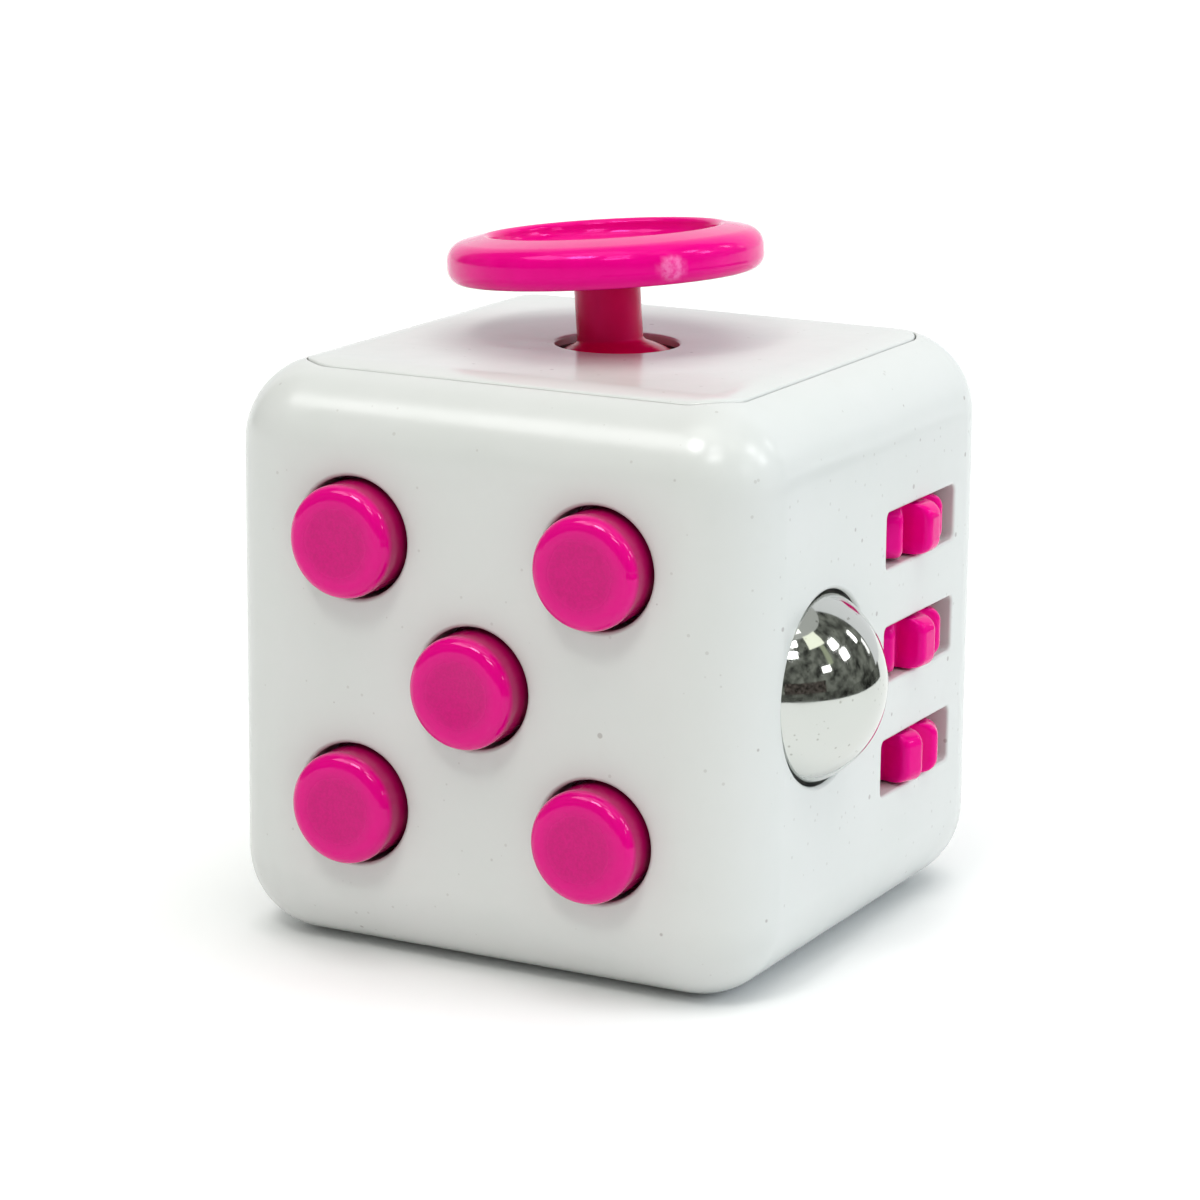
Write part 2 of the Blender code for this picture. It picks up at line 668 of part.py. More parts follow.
def make_joystick():
    """Joystick disc and stem on their tilted pivot, with the ball, seat and spring below."""
    pivot = bpy.data.objects.new("joystick_pivot", None)
    PARTS.objects.link(pivot)
    pivot.location = (0, 0, PIVOT_Z * MM)
    pivot.rotation_euler = (TILT_X, 0, 0)
    lean = bpy.data.objects.new("joystick_lean", None)
    PARTS.objects.link(lean)
    lean.parent = pivot
    lean.rotation_euler = (0, TILT_Y, 0)

    meet = math.degrees(math.acos(STEM_RADIUS / FOOT_RADIUS))
    edge = 90 - math.degrees(FOOT_EDGE)
    stem = [(0, STEM_TOP), (STEM_RADIUS, STEM_TOP)] + arc((0, 0), FOOT_RADIUS, meet, edge, 6)
    stem += arc((0, 0), FOOT_SOCKET, edge, 90, 5)
    stem[-1] = (0, FOOT_SOCKET)
    turned("joystick_stem", stem, (0, 0, 0), PINK, "Z", 24).parent = lean

    crest_at = (DISC_OPENING + DISC_CREST, DISC_THICKNESS - DISC_CREST)
    shoulder_at = (DISC_RADIUS - DISC_SHOULDER, DISC_THICKNESS - DISC_DROP - DISC_SHOULDER)
    socket = STEM_RADIUS + STEM_GAP
    depth = STEM_TOP - DISC_BOTTOM + STEM_END_GAP
    disc = list(DISC_FLOOR) + arc(crest_at, DISC_CREST, 180, DISC_SLOPE, 3)
    disc += arc(shoulder_at, DISC_SHOULDER, DISC_SLOPE, 0, 4)
    disc += arc((DISC_RADIUS - DISC_CORNER, DISC_CORNER), DISC_CORNER, 0, -90, 3)
    disc += [(socket, 0), (socket, depth), (0, depth)]
    disc = [(r, h + DISC_BOTTOM) for r, h in disc]
    turned("joystick_cap", disc, (0, 0, 0), PINK, "Z", 32).parent = lean

    sphere = arc((0, 0), PIVOT_BALL, 90, -90, 8)
    ball = [(0, PIVOT_BALL)] + sphere[1:-1] + [(0, -PIVOT_BALL)]
    turned("pivot_ball", ball, (0, 0, PIVOT_Z), STEEL, "Z", 16)
    lip = math.degrees(math.acos((PIVOT_Z - SEAT_TOP) / (PIVOT_BALL + TOUCH_GAP)))
    cup = arc((0, PIVOT_Z), PIVOT_BALL + TOUCH_GAP, -90, lip - 90, 5)
    cup[0] = (0, cup[0][1])
    cup += [(SEAT_RADIUS, SEAT_TOP), (SEAT_RADIUS, SEAT_BOTTOM), (0, SEAT_BOTTOM)]
    turned("pivot_seat", cup, (0, 0, 0), ACETAL, "Z", 18)
    length = SEAT_BOTTOM - TOWER_FLOOR - 2 * TOWER_COIL_GAP
    coil("joystick_spring", TOWER_COIL, TOWER_WIRE, length, 4, (0, 0, TOWER_FLOOR + TOWER_COIL_GAP), "Z")


def rocker_outline():
    """Side outline of the rocker: a V face, round ends about the pivot and a nub below."""
    slope = math.tan(ROCKER_SLOPE)
    a = 1 + slope * slope
    b = 2 * slope * ROCKER_VALLEY
    c = ROCKER_VALLEY ** 2 - ROCKER_RADIUS ** 2
    reach = (-b + math.sqrt(b * b - 4 * a * c)) / (2 * a)
    corner = math.degrees(math.atan2(ROCKER_VALLEY + slope * reach, reach))
    right = arc((0, 0), ROCKER_RADIUS, ROCKER_END, corner, 6)
    left = [(-u, v) for u, v in reversed(right)]
    belly, nub_height, nub_radius = ROCKER_NUB
    base = right[0][1]
    nub = arc((0, nub_height), nub_radius, 180, 360, 6)
    return right + [(0, ROCKER_VALLEY)] + left + [(-belly, base)] + nub + [(belly, base)]


def make_rocker():
    """Rocker cap tilted to one side, its pin and its bent leaf spring."""
    at = (0, ROCKER_Y, MID)
    bore = circle(ROCKER_BORE, 16)
    rocker = slab("rocker", rocker_outline(), -ROCKER_HALF_X, ROCKER_HALF_X, at, PINK, "Z", bore)
    turn = Euler((ROCKER_SLOPE, 0, 0)).to_matrix() @ TURN["-X"].to_matrix()
    rocker.rotation_euler = turn.to_euler()
    cylinder("rocker_pin", ROCKER_PIN, -ROCKER_PIN_HALF, ROCKER_PIN_HALF, at, STEEL, "X", 16)
    end, bend, top = SPRING_STATIONS
    crest = SPRING_CREST - SPRING_STRIP
    half = [(end, SPRING_FOOT), (bend, SPRING_FOOT), (top, crest)]
    path = [(-u, v) for u, v in half] + half[::-1]
    upper = [(u, v + SPRING_STRIP) for u, v in reversed(path)]
    slab("rocker_spring", path + upper, -SPRING_HALF, SPRING_HALF, (0, 0, MID), STEEL, "-X")


def make_dial():
    """Dial with its thumb dimple, and the washer and screw that hold it."""
    hub_top = BOSS_TOP + RUNNING_GAP
    profile = [(0, hub_top), (HUB_RADIUS, hub_top), (HUB_RADIUS, DIAL_BACK), (DIAL_RADIUS, DIAL_BACK)]
    profile += arc((DIAL_RADIUS - DIAL_EDGE, DIAL_FACE + DIAL_EDGE), DIAL_EDGE, 0, -90, 2)
    profile.append((0, DIAL_FACE))
    dial = turned("dial", profile, (0, 0, 0), PINK, "Z", 36)
    cut(
        dial,
        lens("dial_dimple", DIMPLE_RADIUS, DIMPLE_DEPTH, OVER, (DIMPLE_AT, 0, DIAL_FACE), "-Z", 20),
        cylinder("dial_screw_hole", BLIND_BORE, DIAL_BORE_FLOOR, hub_top + OVER, (0, 0, 0), None, "Z", 12),
    )
    washer = [(WASHER_RADIUS, WASHER_HIGH), (WASHER_RADIUS, WASHER_LOW)]
    washer += [(WASHER_BORE, WASHER_LOW), (WASHER_BORE, WASHER_HIGH)]
    turned("dial_washer", washer, (0, 0, 0), STEEL, "Z", 20)
    make_screw("dial_screw", (0, 0, DIAL_SCREW_Z), "Z", head=1.3, length=2.4)


def make_core_frame():
    """Inner frame: deck, legs, posts, the joystick's tower and the walls that take the springs."""
    frame = box("core_frame", (-DECK_HALF, DECK_FRONT, DECK_LOW), (DECK_HALF, DECK_HALF, DECK_HIGH), GREY)
    corner = DECK_HALF - POST
    base = DECK_LOW + DECK_BITE
    pieces = {}
    for name, side, end in (("a", -1, -1), ("b", 1, -1), ("c", -1, 1), ("d", 1, 1)):
        x = side * corner if side > 0 else -DECK_HALF
        y = DECK_FRONT if end < 0 else corner
        top = base if name == "b" else BODY - COVER_THICKNESS - TOUCH_GAP
        pieces["post_" + name] = ((x, y, COVER_THICKNESS + TOUCH_GAP), (x + POST, y + POST, top))
    near, far = CARRIER_Y
    back, front = CARRIER_WALL_X
    ball_wall_high = (BALL_WALL_HIGH, BALL_WALL_END, BALL_WALL_TOP)
    pieces["ball_wall"] = ((BALL_WALL_LOW, DECK_FRONT, base), ball_wall_high)
    pieces["screw_boss"] = ((*BOSS_LOW, base), BOSS_HIGH)
    pieces["carrier_wall"] = ((back, near, base), (front, far, CARRIER_WALL_TOP))
    pieces["rocker_wall"] = ((*ROCKER_WALL_LOW, base), ROCKER_WALL_HIGH)
    for name, (low, high) in pieces.items():
        join(frame, box(name, low, high))
    join(frame, cylinder("tower", TOWER_RADIUS, base, TOWER_TOP, (0, 0, 0)))
    cut(
        frame,
        cylinder("tower_bore", TOWER_BORE, TOWER_FLOOR, TOWER_TOP + OVER, (0, 0, 0)),
        cylinder("dial_clearance", DIAL_ROOM, DECK_LOW - OVER, DIAL_ROOM_TOP, (0, 0, 0)),
        cylinder("cup_guide", CUP_STEM_RADIUS + GUIDE_GAP, 0, CUP_FLOOR, (0, BALL_Y, BALL_Z), None, "X", 16),
    )
    for name, (x, z) in PLATE_SCREWS.items():
        at = (x, DECK_FRONT, z)
        cut(frame, cylinder("frame_hole_" + name, BLIND_BORE, -OVER, PLATE_SCREW_DEPTH, at, None, "Y", 12))
        make_screw("plate_screw_" + name, (x, PLATE_FRONT - SCREW_GAP, z), "-Y")
    for name, (y, z) in CARRIER_SCREWS.items():
        at = (front, y, z)
        cut(frame, cylinder("wall_hole_" + name, BLIND_BORE, CUT_LOW, CUT_HIGH, at, None, "X", 12))
    return frame


def build():
    """Make every piece."""
    make_housing()
    make_top_panel()
    make_bottom_panel()
    make_core_frame()
    make_button_plate()
    for name, side, row, clicks in BUTTONS:
        make_button(name, side, row, clicks)
        if clicks:
            make_click_dome(name, side, row)
        else:
            x, _, z = button_centre(side, row)
            length = PLATE_FRONT + HALF - 2 * COIL_GAP
            at = (x, PLATE_FRONT - COIL_GAP, z)
            coil("button_spring_" + name, BUTTON_COIL, BUTTON_WIRE, length, 3, at, "-Y")
    make_ball_group()
    make_wheels()
    make_joystick()
    make_rocker()
    make_dial()


build()
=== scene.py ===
"""Looks of the fidget cube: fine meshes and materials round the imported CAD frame.

Lengths are in millimetres and become metres in the helpers. Every fine mesh is made in the frame's own
place, so its object sits at the origin. Turned pieces are lofted from a profile of (radius, height).
"""
import json
import math

import bmesh
import bpy
from mathutils import Euler, Matrix, Vector


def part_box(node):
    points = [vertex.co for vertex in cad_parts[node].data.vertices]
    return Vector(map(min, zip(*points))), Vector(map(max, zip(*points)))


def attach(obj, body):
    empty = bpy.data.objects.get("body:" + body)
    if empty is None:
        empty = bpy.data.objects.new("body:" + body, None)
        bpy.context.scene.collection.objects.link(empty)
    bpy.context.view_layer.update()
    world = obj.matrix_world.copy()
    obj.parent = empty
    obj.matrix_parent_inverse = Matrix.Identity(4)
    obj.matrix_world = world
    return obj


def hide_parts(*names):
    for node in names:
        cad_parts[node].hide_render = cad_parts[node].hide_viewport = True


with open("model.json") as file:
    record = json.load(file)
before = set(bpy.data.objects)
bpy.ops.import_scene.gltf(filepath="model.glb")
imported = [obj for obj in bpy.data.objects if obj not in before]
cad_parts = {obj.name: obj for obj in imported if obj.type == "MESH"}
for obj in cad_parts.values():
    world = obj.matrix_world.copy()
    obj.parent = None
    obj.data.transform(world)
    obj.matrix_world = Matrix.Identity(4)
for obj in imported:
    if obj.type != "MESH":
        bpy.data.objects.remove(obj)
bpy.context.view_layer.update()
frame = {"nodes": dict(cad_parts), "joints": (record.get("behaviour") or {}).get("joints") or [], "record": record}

MM = 0.001
JOINTS = {joint["name"]: joint for joint in frame["joints"]}

TURN = {
    "Z": Euler((0, 0, 0)),
    "-Z": Euler((math.pi, 0, 0)),
    "X": Euler((0, math.pi / 2, 0)),
    "-X": Euler((0, -math.pi / 2, 0)),
    "Y": Euler((-math.pi / 2, 0, 0)),
    "-Y": Euler((math.pi / 2, 0, 0)),
}


def low_of(node):
    """Lowest corner of a CAD node in millimetres."""
    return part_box(node)[0] / MM


def high_of(node):
    """Highest corner of a CAD node in millimetres."""
    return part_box(node)[1] / MM


def middle_of(node):
    """Middle of a CAD node's box in millimetres."""
    return (low_of(node) + high_of(node)) / 2


# ---- Sizes read from the frame ----
BODY = high_of("main_housing").x - low_of("main_housing").x
HALF = BODY / 2
MID = BODY / 2

# ---- Housing and covers ----
EDGE_RADIUS = 4.8
WALL = 2.5
CAVITY_CORNER = 2.5
CAVITY_END = 2.3
COVER_HALF = 13.35
COVER_GAP = 0.07
COVER_CORNER = 2.6
COVER_EDGE = 0.14
COVER_UNDERSIDE = 2.1
COVER_OPENING = 4
COVER_BAND = 0.22
RIM = 0.22
RIM_DRAFT = 88
EDGE_ANGLES = (30, 60, 88)
OVER = 1.5
CUT_DEPTH = 4
BALL_SOCKET = 5.98
SOCKET_BACK = -2.5
WINDOW_HALF_Y = 4.7
WINDOW_HALF_Z = 1.6
WINDOW_CORNER = 0.35
WINDOW_RIM = 0.16
REST_RADIUS = 9.0
REST_DEPTH = 1.3
OPENING_HALF_X = 4.7
OPENING_HALF_Z = 7.5
OPENING_CORNER = 0.6
DISH_RADIUS = 10.8
DISH_DEPTH = 0.06
DISH_PUFF = 0.01
HOLE_RADIUS = 3.52
HOLE_FLARE = 0.16
SEAT_RADIUS = 6.5
SEAT_BOSS_RADIUS = 7.3
SEAT_BOSS_END = 28.4
DIAL_BOSS_RADIUS = 11.1
DIAL_BOSS_END = 4.0
DIAL_GAP = 0.3
DIAL_POCKET_DEPTH = 2.5
DIAL_BEARING_RADIUS = 2.05

# ---- Buttons ----
BUTTONS = ("top_left", "top_right", "centre", "bottom_left", "bottom_right")
HOLE_GAP = 0.25
CAP_RADIUS = 3.15
CAP_FLAT = 2.15
CAP_SHOULDER = 0.8
CAP_SHOULDER_POWER = 2.6
CAP_SINK = 0.06
CENTRE_CAP_SINK = 0.2
CAP_BACK = -WALL - 0.3
FLANGE_RADIUS = 3.8
FLANGE_THICKNESS = 0.8
SKIRT_BORE = 2.3
SKIRT_FLOOR = 0.1

# ---- Wheels ----
WHEELS = ("bottom", "middle", "top")
LUG_COUNT = 8
LUG_HALF = 0.82
LUG_CORNER = 0.45
LUG_BLEND = 0.35
LUG_SHOULDER = 0.8
WHEEL_RADIUS = 4.4
WHEEL_ROOT = 2.7
WHEEL_BORE = 0.85
WHEEL_PHASE = {"bottom": 24.0, "middle": 38.4, "top": 43.0}

# ---- Joystick ----
LEAN = -5.0
DISC_RADIUS = 8.95
DISC_BOTTOM = 9.7
DISC_THICKNESS = 2.65
DISC_OPENING = 6.45
DISC_CREST = 0.35
DISC_SHOULDER = 1.1
DISC_CORNER = 0.85
DISC_SLOPE = 77
THUMB_FLOOR = 1.3
THUMB_CROWN = 0.2
THUMB_FILLET = 0.9
GATE_TURN = -38
GATE_HEIGHT = 0.95
STEM_RADIUS = 1.88
STEM_FOOT = 6.3
STEM_FILLET = 0.15
STEM_OVERLAP = 0.8
PIVOT_SOCKET = 2.55

# ---- Rocker ----
ROCKER_RADIUS = 7.2
ROCKER_VALLEY = 2.2
ROCKER_HALF_X = 4.4
ROCKER_LEAN = 12
ROCKER_PIN = 0.75
ROCKER_NUB = 4.0

# ---- Dial ----
DIAL_HUB_RADIUS = 1.8
DIAL_PLATE_TOP = 2.2
DIAL_EDGE = 0.5
DIMPLE_RADIUS = 3.1
DIMPLE_PLACE = 5.4

# ---- Fineness of round forms ----
COARSE = 32
MEDIUM = 64
FINE = 96
FINEST = 128

# ---- Colours ----
PINK_COLOUR = (0.76, 0.0003, 0.22)
PINK_DEEP = (0.715, 0.0002, 0.2)
PINK_SHEEN = (1.0, 0.18, 0.75, 1.0)
PINK_SCAR = (0.82, 0.16, 0.42)

# ---- Camera ----
CAMERA_TURN = math.radians(27.9)
CAMERA_RISE = math.radians(13.54)
CAMERA_ROLL = math.radians(0.5)
CAMERA_DISTANCE = 0.2366
CAMERA_SLIDE = (-0.00083, 0.00145)
CAMERA_LENS = 123.7


# ---- Materials ----
class Shader:
    """A Principled material with a few procedural layers in millimetre coordinates."""

    def __init__(self, name, colour, roughness, **values):
        self.material = bpy.data.materials.new(name)
        self.material.use_nodes = True
        self.nodes = self.material.node_tree.nodes
        self.links = self.material.node_tree.links
        self.bsdf = self.nodes["Principled BSDF"]
        self.colour = colour
        self.set("Base Color", (*colour, 1))
        self.set("Roughness", roughness)
        for key, value in values.items():
            self.set(key.replace("_", " "), value)
        place = self.nodes.new("ShaderNodeTexCoord")
        scale = self.nodes.new("ShaderNodeMapping")
        scale.inputs["Scale"].default_value = (1 / MM, 1 / MM, 1 / MM)
        self.links.new(place.outputs["Object"], scale.inputs["Vector"])
        self.mm = scale.outputs["Vector"]
        self.height = None

    def set(self, socket, value):
        self.bsdf.inputs[socket].default_value = value

    def noise(self, size, detail=3.0, rough=0.55, offset=0.0):
        """Noise with features of the given size in millimetres."""
        node = self.nodes.new("ShaderNodeTexNoise")
        node.inputs["Scale"].default_value = 1 / size
        node.inputs["Detail"].default_value = detail
        node.inputs["Roughness"].default_value = rough
        shift = self.nodes.new("ShaderNodeVectorMath")
        shift.inputs[1].default_value = (offset, offset * 0.7, -offset)
        self.links.new(self.mm, shift.inputs[0])
        self.links.new(shift.outputs[0], node.inputs["Vector"])
        return node.outputs["Fac"]

    def ramp(self, value, low, high, to_low=0.0, to_high=1.0):
        """Map a value from low-high to another range, clamped."""
        node = self.nodes.new("ShaderNodeMapRange")
        node.inputs["From Min"].default_value = low
        node.inputs["From Max"].default_value = high
        node.inputs["To Min"].default_value = to_low
        node.inputs["To Max"].default_value = to_high
        self.links.new(value, node.inputs["Value"])
        return node.outputs["Result"]

    def maths(self, operation, a, b):
        """Combine two values. b may be a plain number."""
        node = self.nodes.new("ShaderNodeMath")
        node.operation = operation
        self.links.new(a, node.inputs[0])
        if isinstance(b, (int, float)):
            node.inputs[1].default_value = b
        else:
            self.links.new(b, node.inputs[1])
        return node.outputs["Value"]

    def spots(self, spacing, radius, share, offset=0.0):
        """Sparse round specks: about one cell in 1/share holds one."""
        node = self.nodes.new("ShaderNodeTexVoronoi")
        node.inputs["Scale"].default_value = 1 / spacing
        shift = self.nodes.new("ShaderNodeVectorMath")
        shift.inputs[1].default_value = (offset, offset, offset)
        self.links.new(self.mm, shift.inputs[0])
        self.links.new(shift.outputs[0], node.inputs["Vector"])
        split = self.nodes.new("ShaderNodeSeparateColor")
        self.links.new(node.outputs["Color"], split.inputs["Color"])
        reach = self.ramp(split.outputs["Red"], 1 - share, 1, 0.0, radius / spacing)
        near = self.maths("SUBTRACT", reach, node.outputs["Distance"])
        return self.ramp(near, 0, 0.25 * radius / spacing)

    def mix(self, factor, colour, base=None):
        """Lay a colour over the base colour by a factor."""
        node = self.nodes.new("ShaderNodeMix")
        node.data_type = "RGBA"
        self.links.new(factor, node.inputs["Factor"])
        if base is None:
            node.inputs[6].default_value = (*self.colour, 1)
        else:
            self.links.new(base, node.inputs[6])
        node.inputs[7].default_value = (*colour, 1)
        self.links.new(node.outputs[2], self.bsdf.inputs["Base Color"])
        return node.outputs[2]

    def roughness(self, value):
        self.links.new(value, self.bsdf.inputs["Roughness"])

    def bump(self, height, depth):
        """Add relief of a depth in millimetres."""
        node = self.nodes.new("ShaderNodeBump")
        node.inputs["Strength"].default_value = 1.0
        node.inputs["Distance"].default_value = depth * MM
        self.links.new(height, node.inputs["Height"])
        if self.height is not None:
            self.links.new(self.height, node.inputs["Normal"])
        self.height = node.outputs["Normal"]
        self.links.new(self.height, self.bsdf.inputs["Normal"])


def white_abs():
    """Glossy white ABS with faint mottling, handling smudges and a few dirt specks."""
    s = Shader("white_abs", (0.62, 0.626, 0.614), 0.2, IOR=1.47)
    base = s.mix(s.ramp(s.noise(7.0, 4.0), 0.35, 0.7), (0.605, 0.617, 0.6))
    base = s.mix(s.ramp(s.noise(2.2, 5.0, 0.65, 9.0), 0.6, 0.8, 0.0, 0.35), (0.585, 0.585, 0.565), base)
    base = s.mix(s.maths("MULTIPLY", s.spots(2.2, 0.19, 0.9, 3.0), 0.6), (0.30, 0.27, 0.26), base)
    s.mix(s.maths("MULTIPLY", s.spots(0.9, 0.12, 0.8, 41.0), 0.35), (0.36, 0.34, 0.32), base)
    s.roughness(s.ramp(s.noise(3.5, 2.0, 0.5, 5.0), 0.3, 0.75, 0.18, 0.26))
    s.bump(s.noise(2.4, 2.0), 0.012)
    return s.material


def pink_gloss():
    """Glossy hot-pink ABS with slight flow mottling."""
    s = Shader("pink_gloss", PINK_COLOUR, 0.2, IOR=1.45, Specular_Tint=PINK_SHEEN)
    scar = s.nodes.new("ShaderNodeAttribute")
    scar.attribute_name = "scar"
    base = s.mix(s.ramp(s.noise(1.6, 4.0), 0.35, 0.7), PINK_DEEP)
    torn = s.ramp(s.noise(0.3, 4.0), 0.35, 0.6, 0.3, 0.9)
    s.mix(s.maths("MULTIPLY", scar.outputs["Fac"], torn), PINK_SCAR, base)
    s.roughness(s.ramp(s.noise(1.1, 5.0, 0.6, 5.0), 0.3, 0.75, 0.08, 0.2))
    s.bump(s.noise(1.2, 2.0), 0.01)
    return s.material


def shaded_stem_pink():
    """The stem: the pink darkened as painted shade from the disc above it, and less glossy."""
    s = Shader("shaded_stem_pink", (0.6, 0.0002, 0.07), 0.25, IOR=1.38, Specular_Tint=PINK_SHEEN)
    s.mix(s.ramp(s.noise(1.6, 4.0), 0.35, 0.7), (0.55, 0.0002, 0.06))
    s.roughness(s.ramp(s.noise(1.1, 3.0), 0.3, 0.75, 0.15, 0.28))
    s.bump(s.noise(1.2, 2.0), 0.01)
    return s.material


def button_pink():
    """The buttons: the gloss pink, worn to a fine satin grain on their tops, with painted shade on their sides
    down in the hole.
    """
    s = Shader("button_pink", (0.68, 0.0003, 0.2), 0.2, IOR=1.45, Specular_Tint=(1.0, 0.5, 0.85, 1.0))
    worn = s.nodes.new("ShaderNodeAttribute")
    worn.attribute_name = "worn"
    worn = worn.outputs["Fac"]
    # The wall attribute marks where painted shade darkens each cap's side towards the hole.
    wall = s.nodes.new("ShaderNodeAttribute")
    wall.attribute_name = "wall"
    base = s.mix(s.ramp(s.noise(1.6, 4.0), 0.35, 0.7), (0.65, 0.0003, 0.19))
    # Painted shade: a near-black deep pink on the cap's side, where the hole's rim shades it.
    base = s.mix(wall.outputs["Fac"], (0.2, 0.0001, 0.02), base)
    grain = s.ramp(s.noise(0.14, 3.0, 0.6), 0.35, 0.65)
    base = s.mix(s.maths("MULTIPLY", worn, 0.75), (0.56, 0.002, 0.165), base)
    s.mix(s.maths("MULTIPLY", s.maths("MULTIPLY", worn, grain), 0.35), (0.34, 0.002, 0.09), base)
    satin = s.maths("MULTIPLY", worn, 0.3)
    s.roughness(s.maths("ADD", satin, s.ramp(s.noise(1.1, 5.0, 0.6, 5.0), 0.3, 0.75, 0.06, 0.12)))
    s.bump(s.maths("MULTIPLY", worn, s.maths("SUBTRACT", s.noise(0.16, 4.0), 0.5)), 0.014)
    return s.material


def chrome():
    """Chrome plating with faint haze, hairline wear and dust."""
    s = Shader("chrome", (0.595, 0.61, 0.585), 0.05, Metallic=1.0)
    s.mix(s.maths("MULTIPLY", s.spots(0.45, 0.1, 0.9, 5.0), 0.55), (0.27, 0.27, 0.24))
    s.roughness(s.ramp(s.noise(1.5, 6.0, 0.7), 0.35, 0.8, 0.03, 0.16))
    s.bump(s.noise(0.5, 4.0), 0.0012)
    return s.material


def steel():
    """Bright drawn steel for springs, pins and screws."""
    s = Shader("steel", (0.55, 0.55, 0.56), 0.25, Metallic=1.0)
    s.mix(s.ramp(s.noise(0.6, 4.0), 0.35, 0.7), (0.45, 0.45, 0.45))
    s.roughness(s.ramp(s.noise(0.4, 4.0), 0.3, 0.7, 0.2, 0.4))
    s.bump(s.noise(0.1, 2.0), 0.002)
    return s.material


def inner_plastic(name, colour):
    """Plain inner moulding with a fine spark-eroded grain."""
    s = Shader(name, colour, 0.5)
    s.mix(s.ramp(s.noise(2.0, 3.0), 0.35, 0.7), tuple(0.88 * c for c in colour))
    s.roughness(s.ramp(s.noise(0.8, 4.0), 0.3, 0.7, 0.42, 0.6))
    s.bump(s.noise(0.15, 3.0), 0.006)
    return s.material


WHITE = white_abs()
PINK = pink_gloss()
SHADED_STEM_PINK = shaded_stem_pink()
BUTTON_PINK = button_pink()
CHROME = chrome()
STEEL = steel()
GREY = inner_plastic("inner_grey", (0.45, 0.45, 0.46))
ACETAL = inner_plastic("acetal", (0.80, 0.80, 0.77))


# ---- Mesh helpers ----
def arc(centre, radius, start, end, steps=8):
    """Points on an arc, angles in degrees from the first axis towards the second."""
    points = []
    for i in range(steps + 1):
        angle = math.radians(start + (end - start) * i / steps)
        points.append((centre[0] + radius * math.cos(angle), centre[1] + radius * math.sin(angle)))
    return points


def circle(radius, steps=FINE):
    """Points round a circle."""
    return arc((0, 0), radius, 0, 360, steps)[:-1]


def rounded_rectangle(half_u, half_v, radius, steps=8):
    """Outline of a rectangle with round corners."""
    points = []
    for quarter, (su, sv) in enumerate(((1, 1), (-1, 1), (-1, -1), (1, -1))):
        centre = (su * (half_u - radius), sv * (half_v - radius))
        points += arc(centre, radius, 90 * quarter, 90 * quarter + 90, steps)
    return points


def loft(bm, rings):
    """Join closed rings of equal length, lowest first, and cap the two ends."""
    rows = [[bm.verts.new(Vector(point) * MM) for point in ring] for ring in rings]
    count = len(rows[0])
    for below, above in zip(rows, rows[1:]):
        for i in range(count):
            j = (i + 1) % count
            bm.faces.new((below[i], below[j], above[j], above[i]))
    bm.faces.new(tuple(reversed(rows[0])))
    bm.faces.new(tuple(rows[-1]))


def lathe(bm, profile, steps=FINE):
    """Turn a profile about Z. Points on the axis close the form, otherwise it is a ring."""
    rows = []
    for r, h in profile:
        if r < 1e-6:
            rows.append([bm.verts.new((0, 0, h * MM))])
        else:
            ring = [bm.verts.new((u * MM, v * MM, h * MM)) for u, v in circle(r, steps)]
            rows.append(ring)
    pairs = list(zip(rows, rows[1:]))
    if len(rows[0]) > 1 and len(rows[-1]) > 1:
        pairs.append((rows[-1], rows[0]))
    for above, below in pairs:
        for i in range(steps):
            j = (i + 1) % steps
            if len(above) == 1:
                bm.faces.new((above[0], below[i], below[j]))
            elif len(below) == 1:
                bm.faces.new((above[i], below[0], above[j]))
            else:
                bm.faces.new((above[i], below[i], below[j], above[j]))


def to_object(name, bm, material=None, matrix=None):
    """Turn a bmesh into an object. It is moved into the frame by its vertices, not by its object."""
    if matrix is not None:
        bm.transform(matrix)
    bmesh.ops.recalc_face_normals(bm, faces=bm.faces)
    mesh = bpy.data.meshes.new(name)
    bm.to_mesh(mesh)
    bm.free()
    obj = bpy.data.objects.new(name, mesh)
    bpy.context.scene.collection.objects.link(obj)
    if material is not None:
        mesh.materials.append(material)
    return obj


def at(point, axis="Z"):
    """Matrix that puts a form at a point in millimetres with its Z along the named axis."""
    return Matrix.Translation(Vector(point) * MM) @ TURN[axis].to_matrix().to_4x4()


def turned(name, profile, point=(0, 0, 0), axis="Z", material=None, steps=FINE):
    """Object turned from a profile."""
    bm = bmesh.new()
    lathe(bm, profile, steps)
    return to_object(name, bm, material, at(point, axis))


def level(outline, height):
    """Flat ring from an outline."""
    return [(u, v, height) for u, v in outline]


def lofted(name, rings, point=(0, 0, 0), axis="Z", material=None):
    """Object lofted through rings of points."""
    bm = bmesh.new()
    loft(bm, rings)
    return to_object(name, bm, material, at(point, axis))


def baked(obj):
    """Replace an object's mesh by its evaluated one and drop its modifiers."""
    graph = bpy.context.evaluated_depsgraph_get()
    mesh = bpy.data.meshes.new_from_object(obj.evaluated_get(graph))
    obj.modifiers.clear()
    obj.data = mesh
    return obj


def carve(obj, operation, tools):
    """Boolean the tools into an object, one after another, and remove them."""
    for tool in tools:
        boolean = obj.modifiers.new(tool.name, "BOOLEAN")
        boolean.operation = operation
        boolean.solver = "EXACT"
        boolean.object = tool
    bpy.context.view_layer.update()
    baked(obj)
    for tool in tools:
        bpy.data.objects.remove(tool, do_unlink=True)
    return obj


def soften(obj, width, segments=3, angle=40):
    """Round an object's sharp edges."""
    bevel = obj.modifiers.new("Soft edges", "BEVEL")
    bevel.width = width * MM
    bevel.segments = segments
    bevel.angle_limit = math.radians(angle)
    bpy.context.view_layer.update()
    return baked(obj)


def smooth(obj, angle=38):
    """Shade smooth between sharp edges, with flat faces kept flat."""
    obj.data.shade_smooth()
    obj.data.set_sharp_from_angle(angle=math.radians(angle))
    weight = obj.modifiers.new("Normals", "WEIGHTED_NORMAL")
    weight.keep_sharp = True
    weight.weight = 90
    return obj


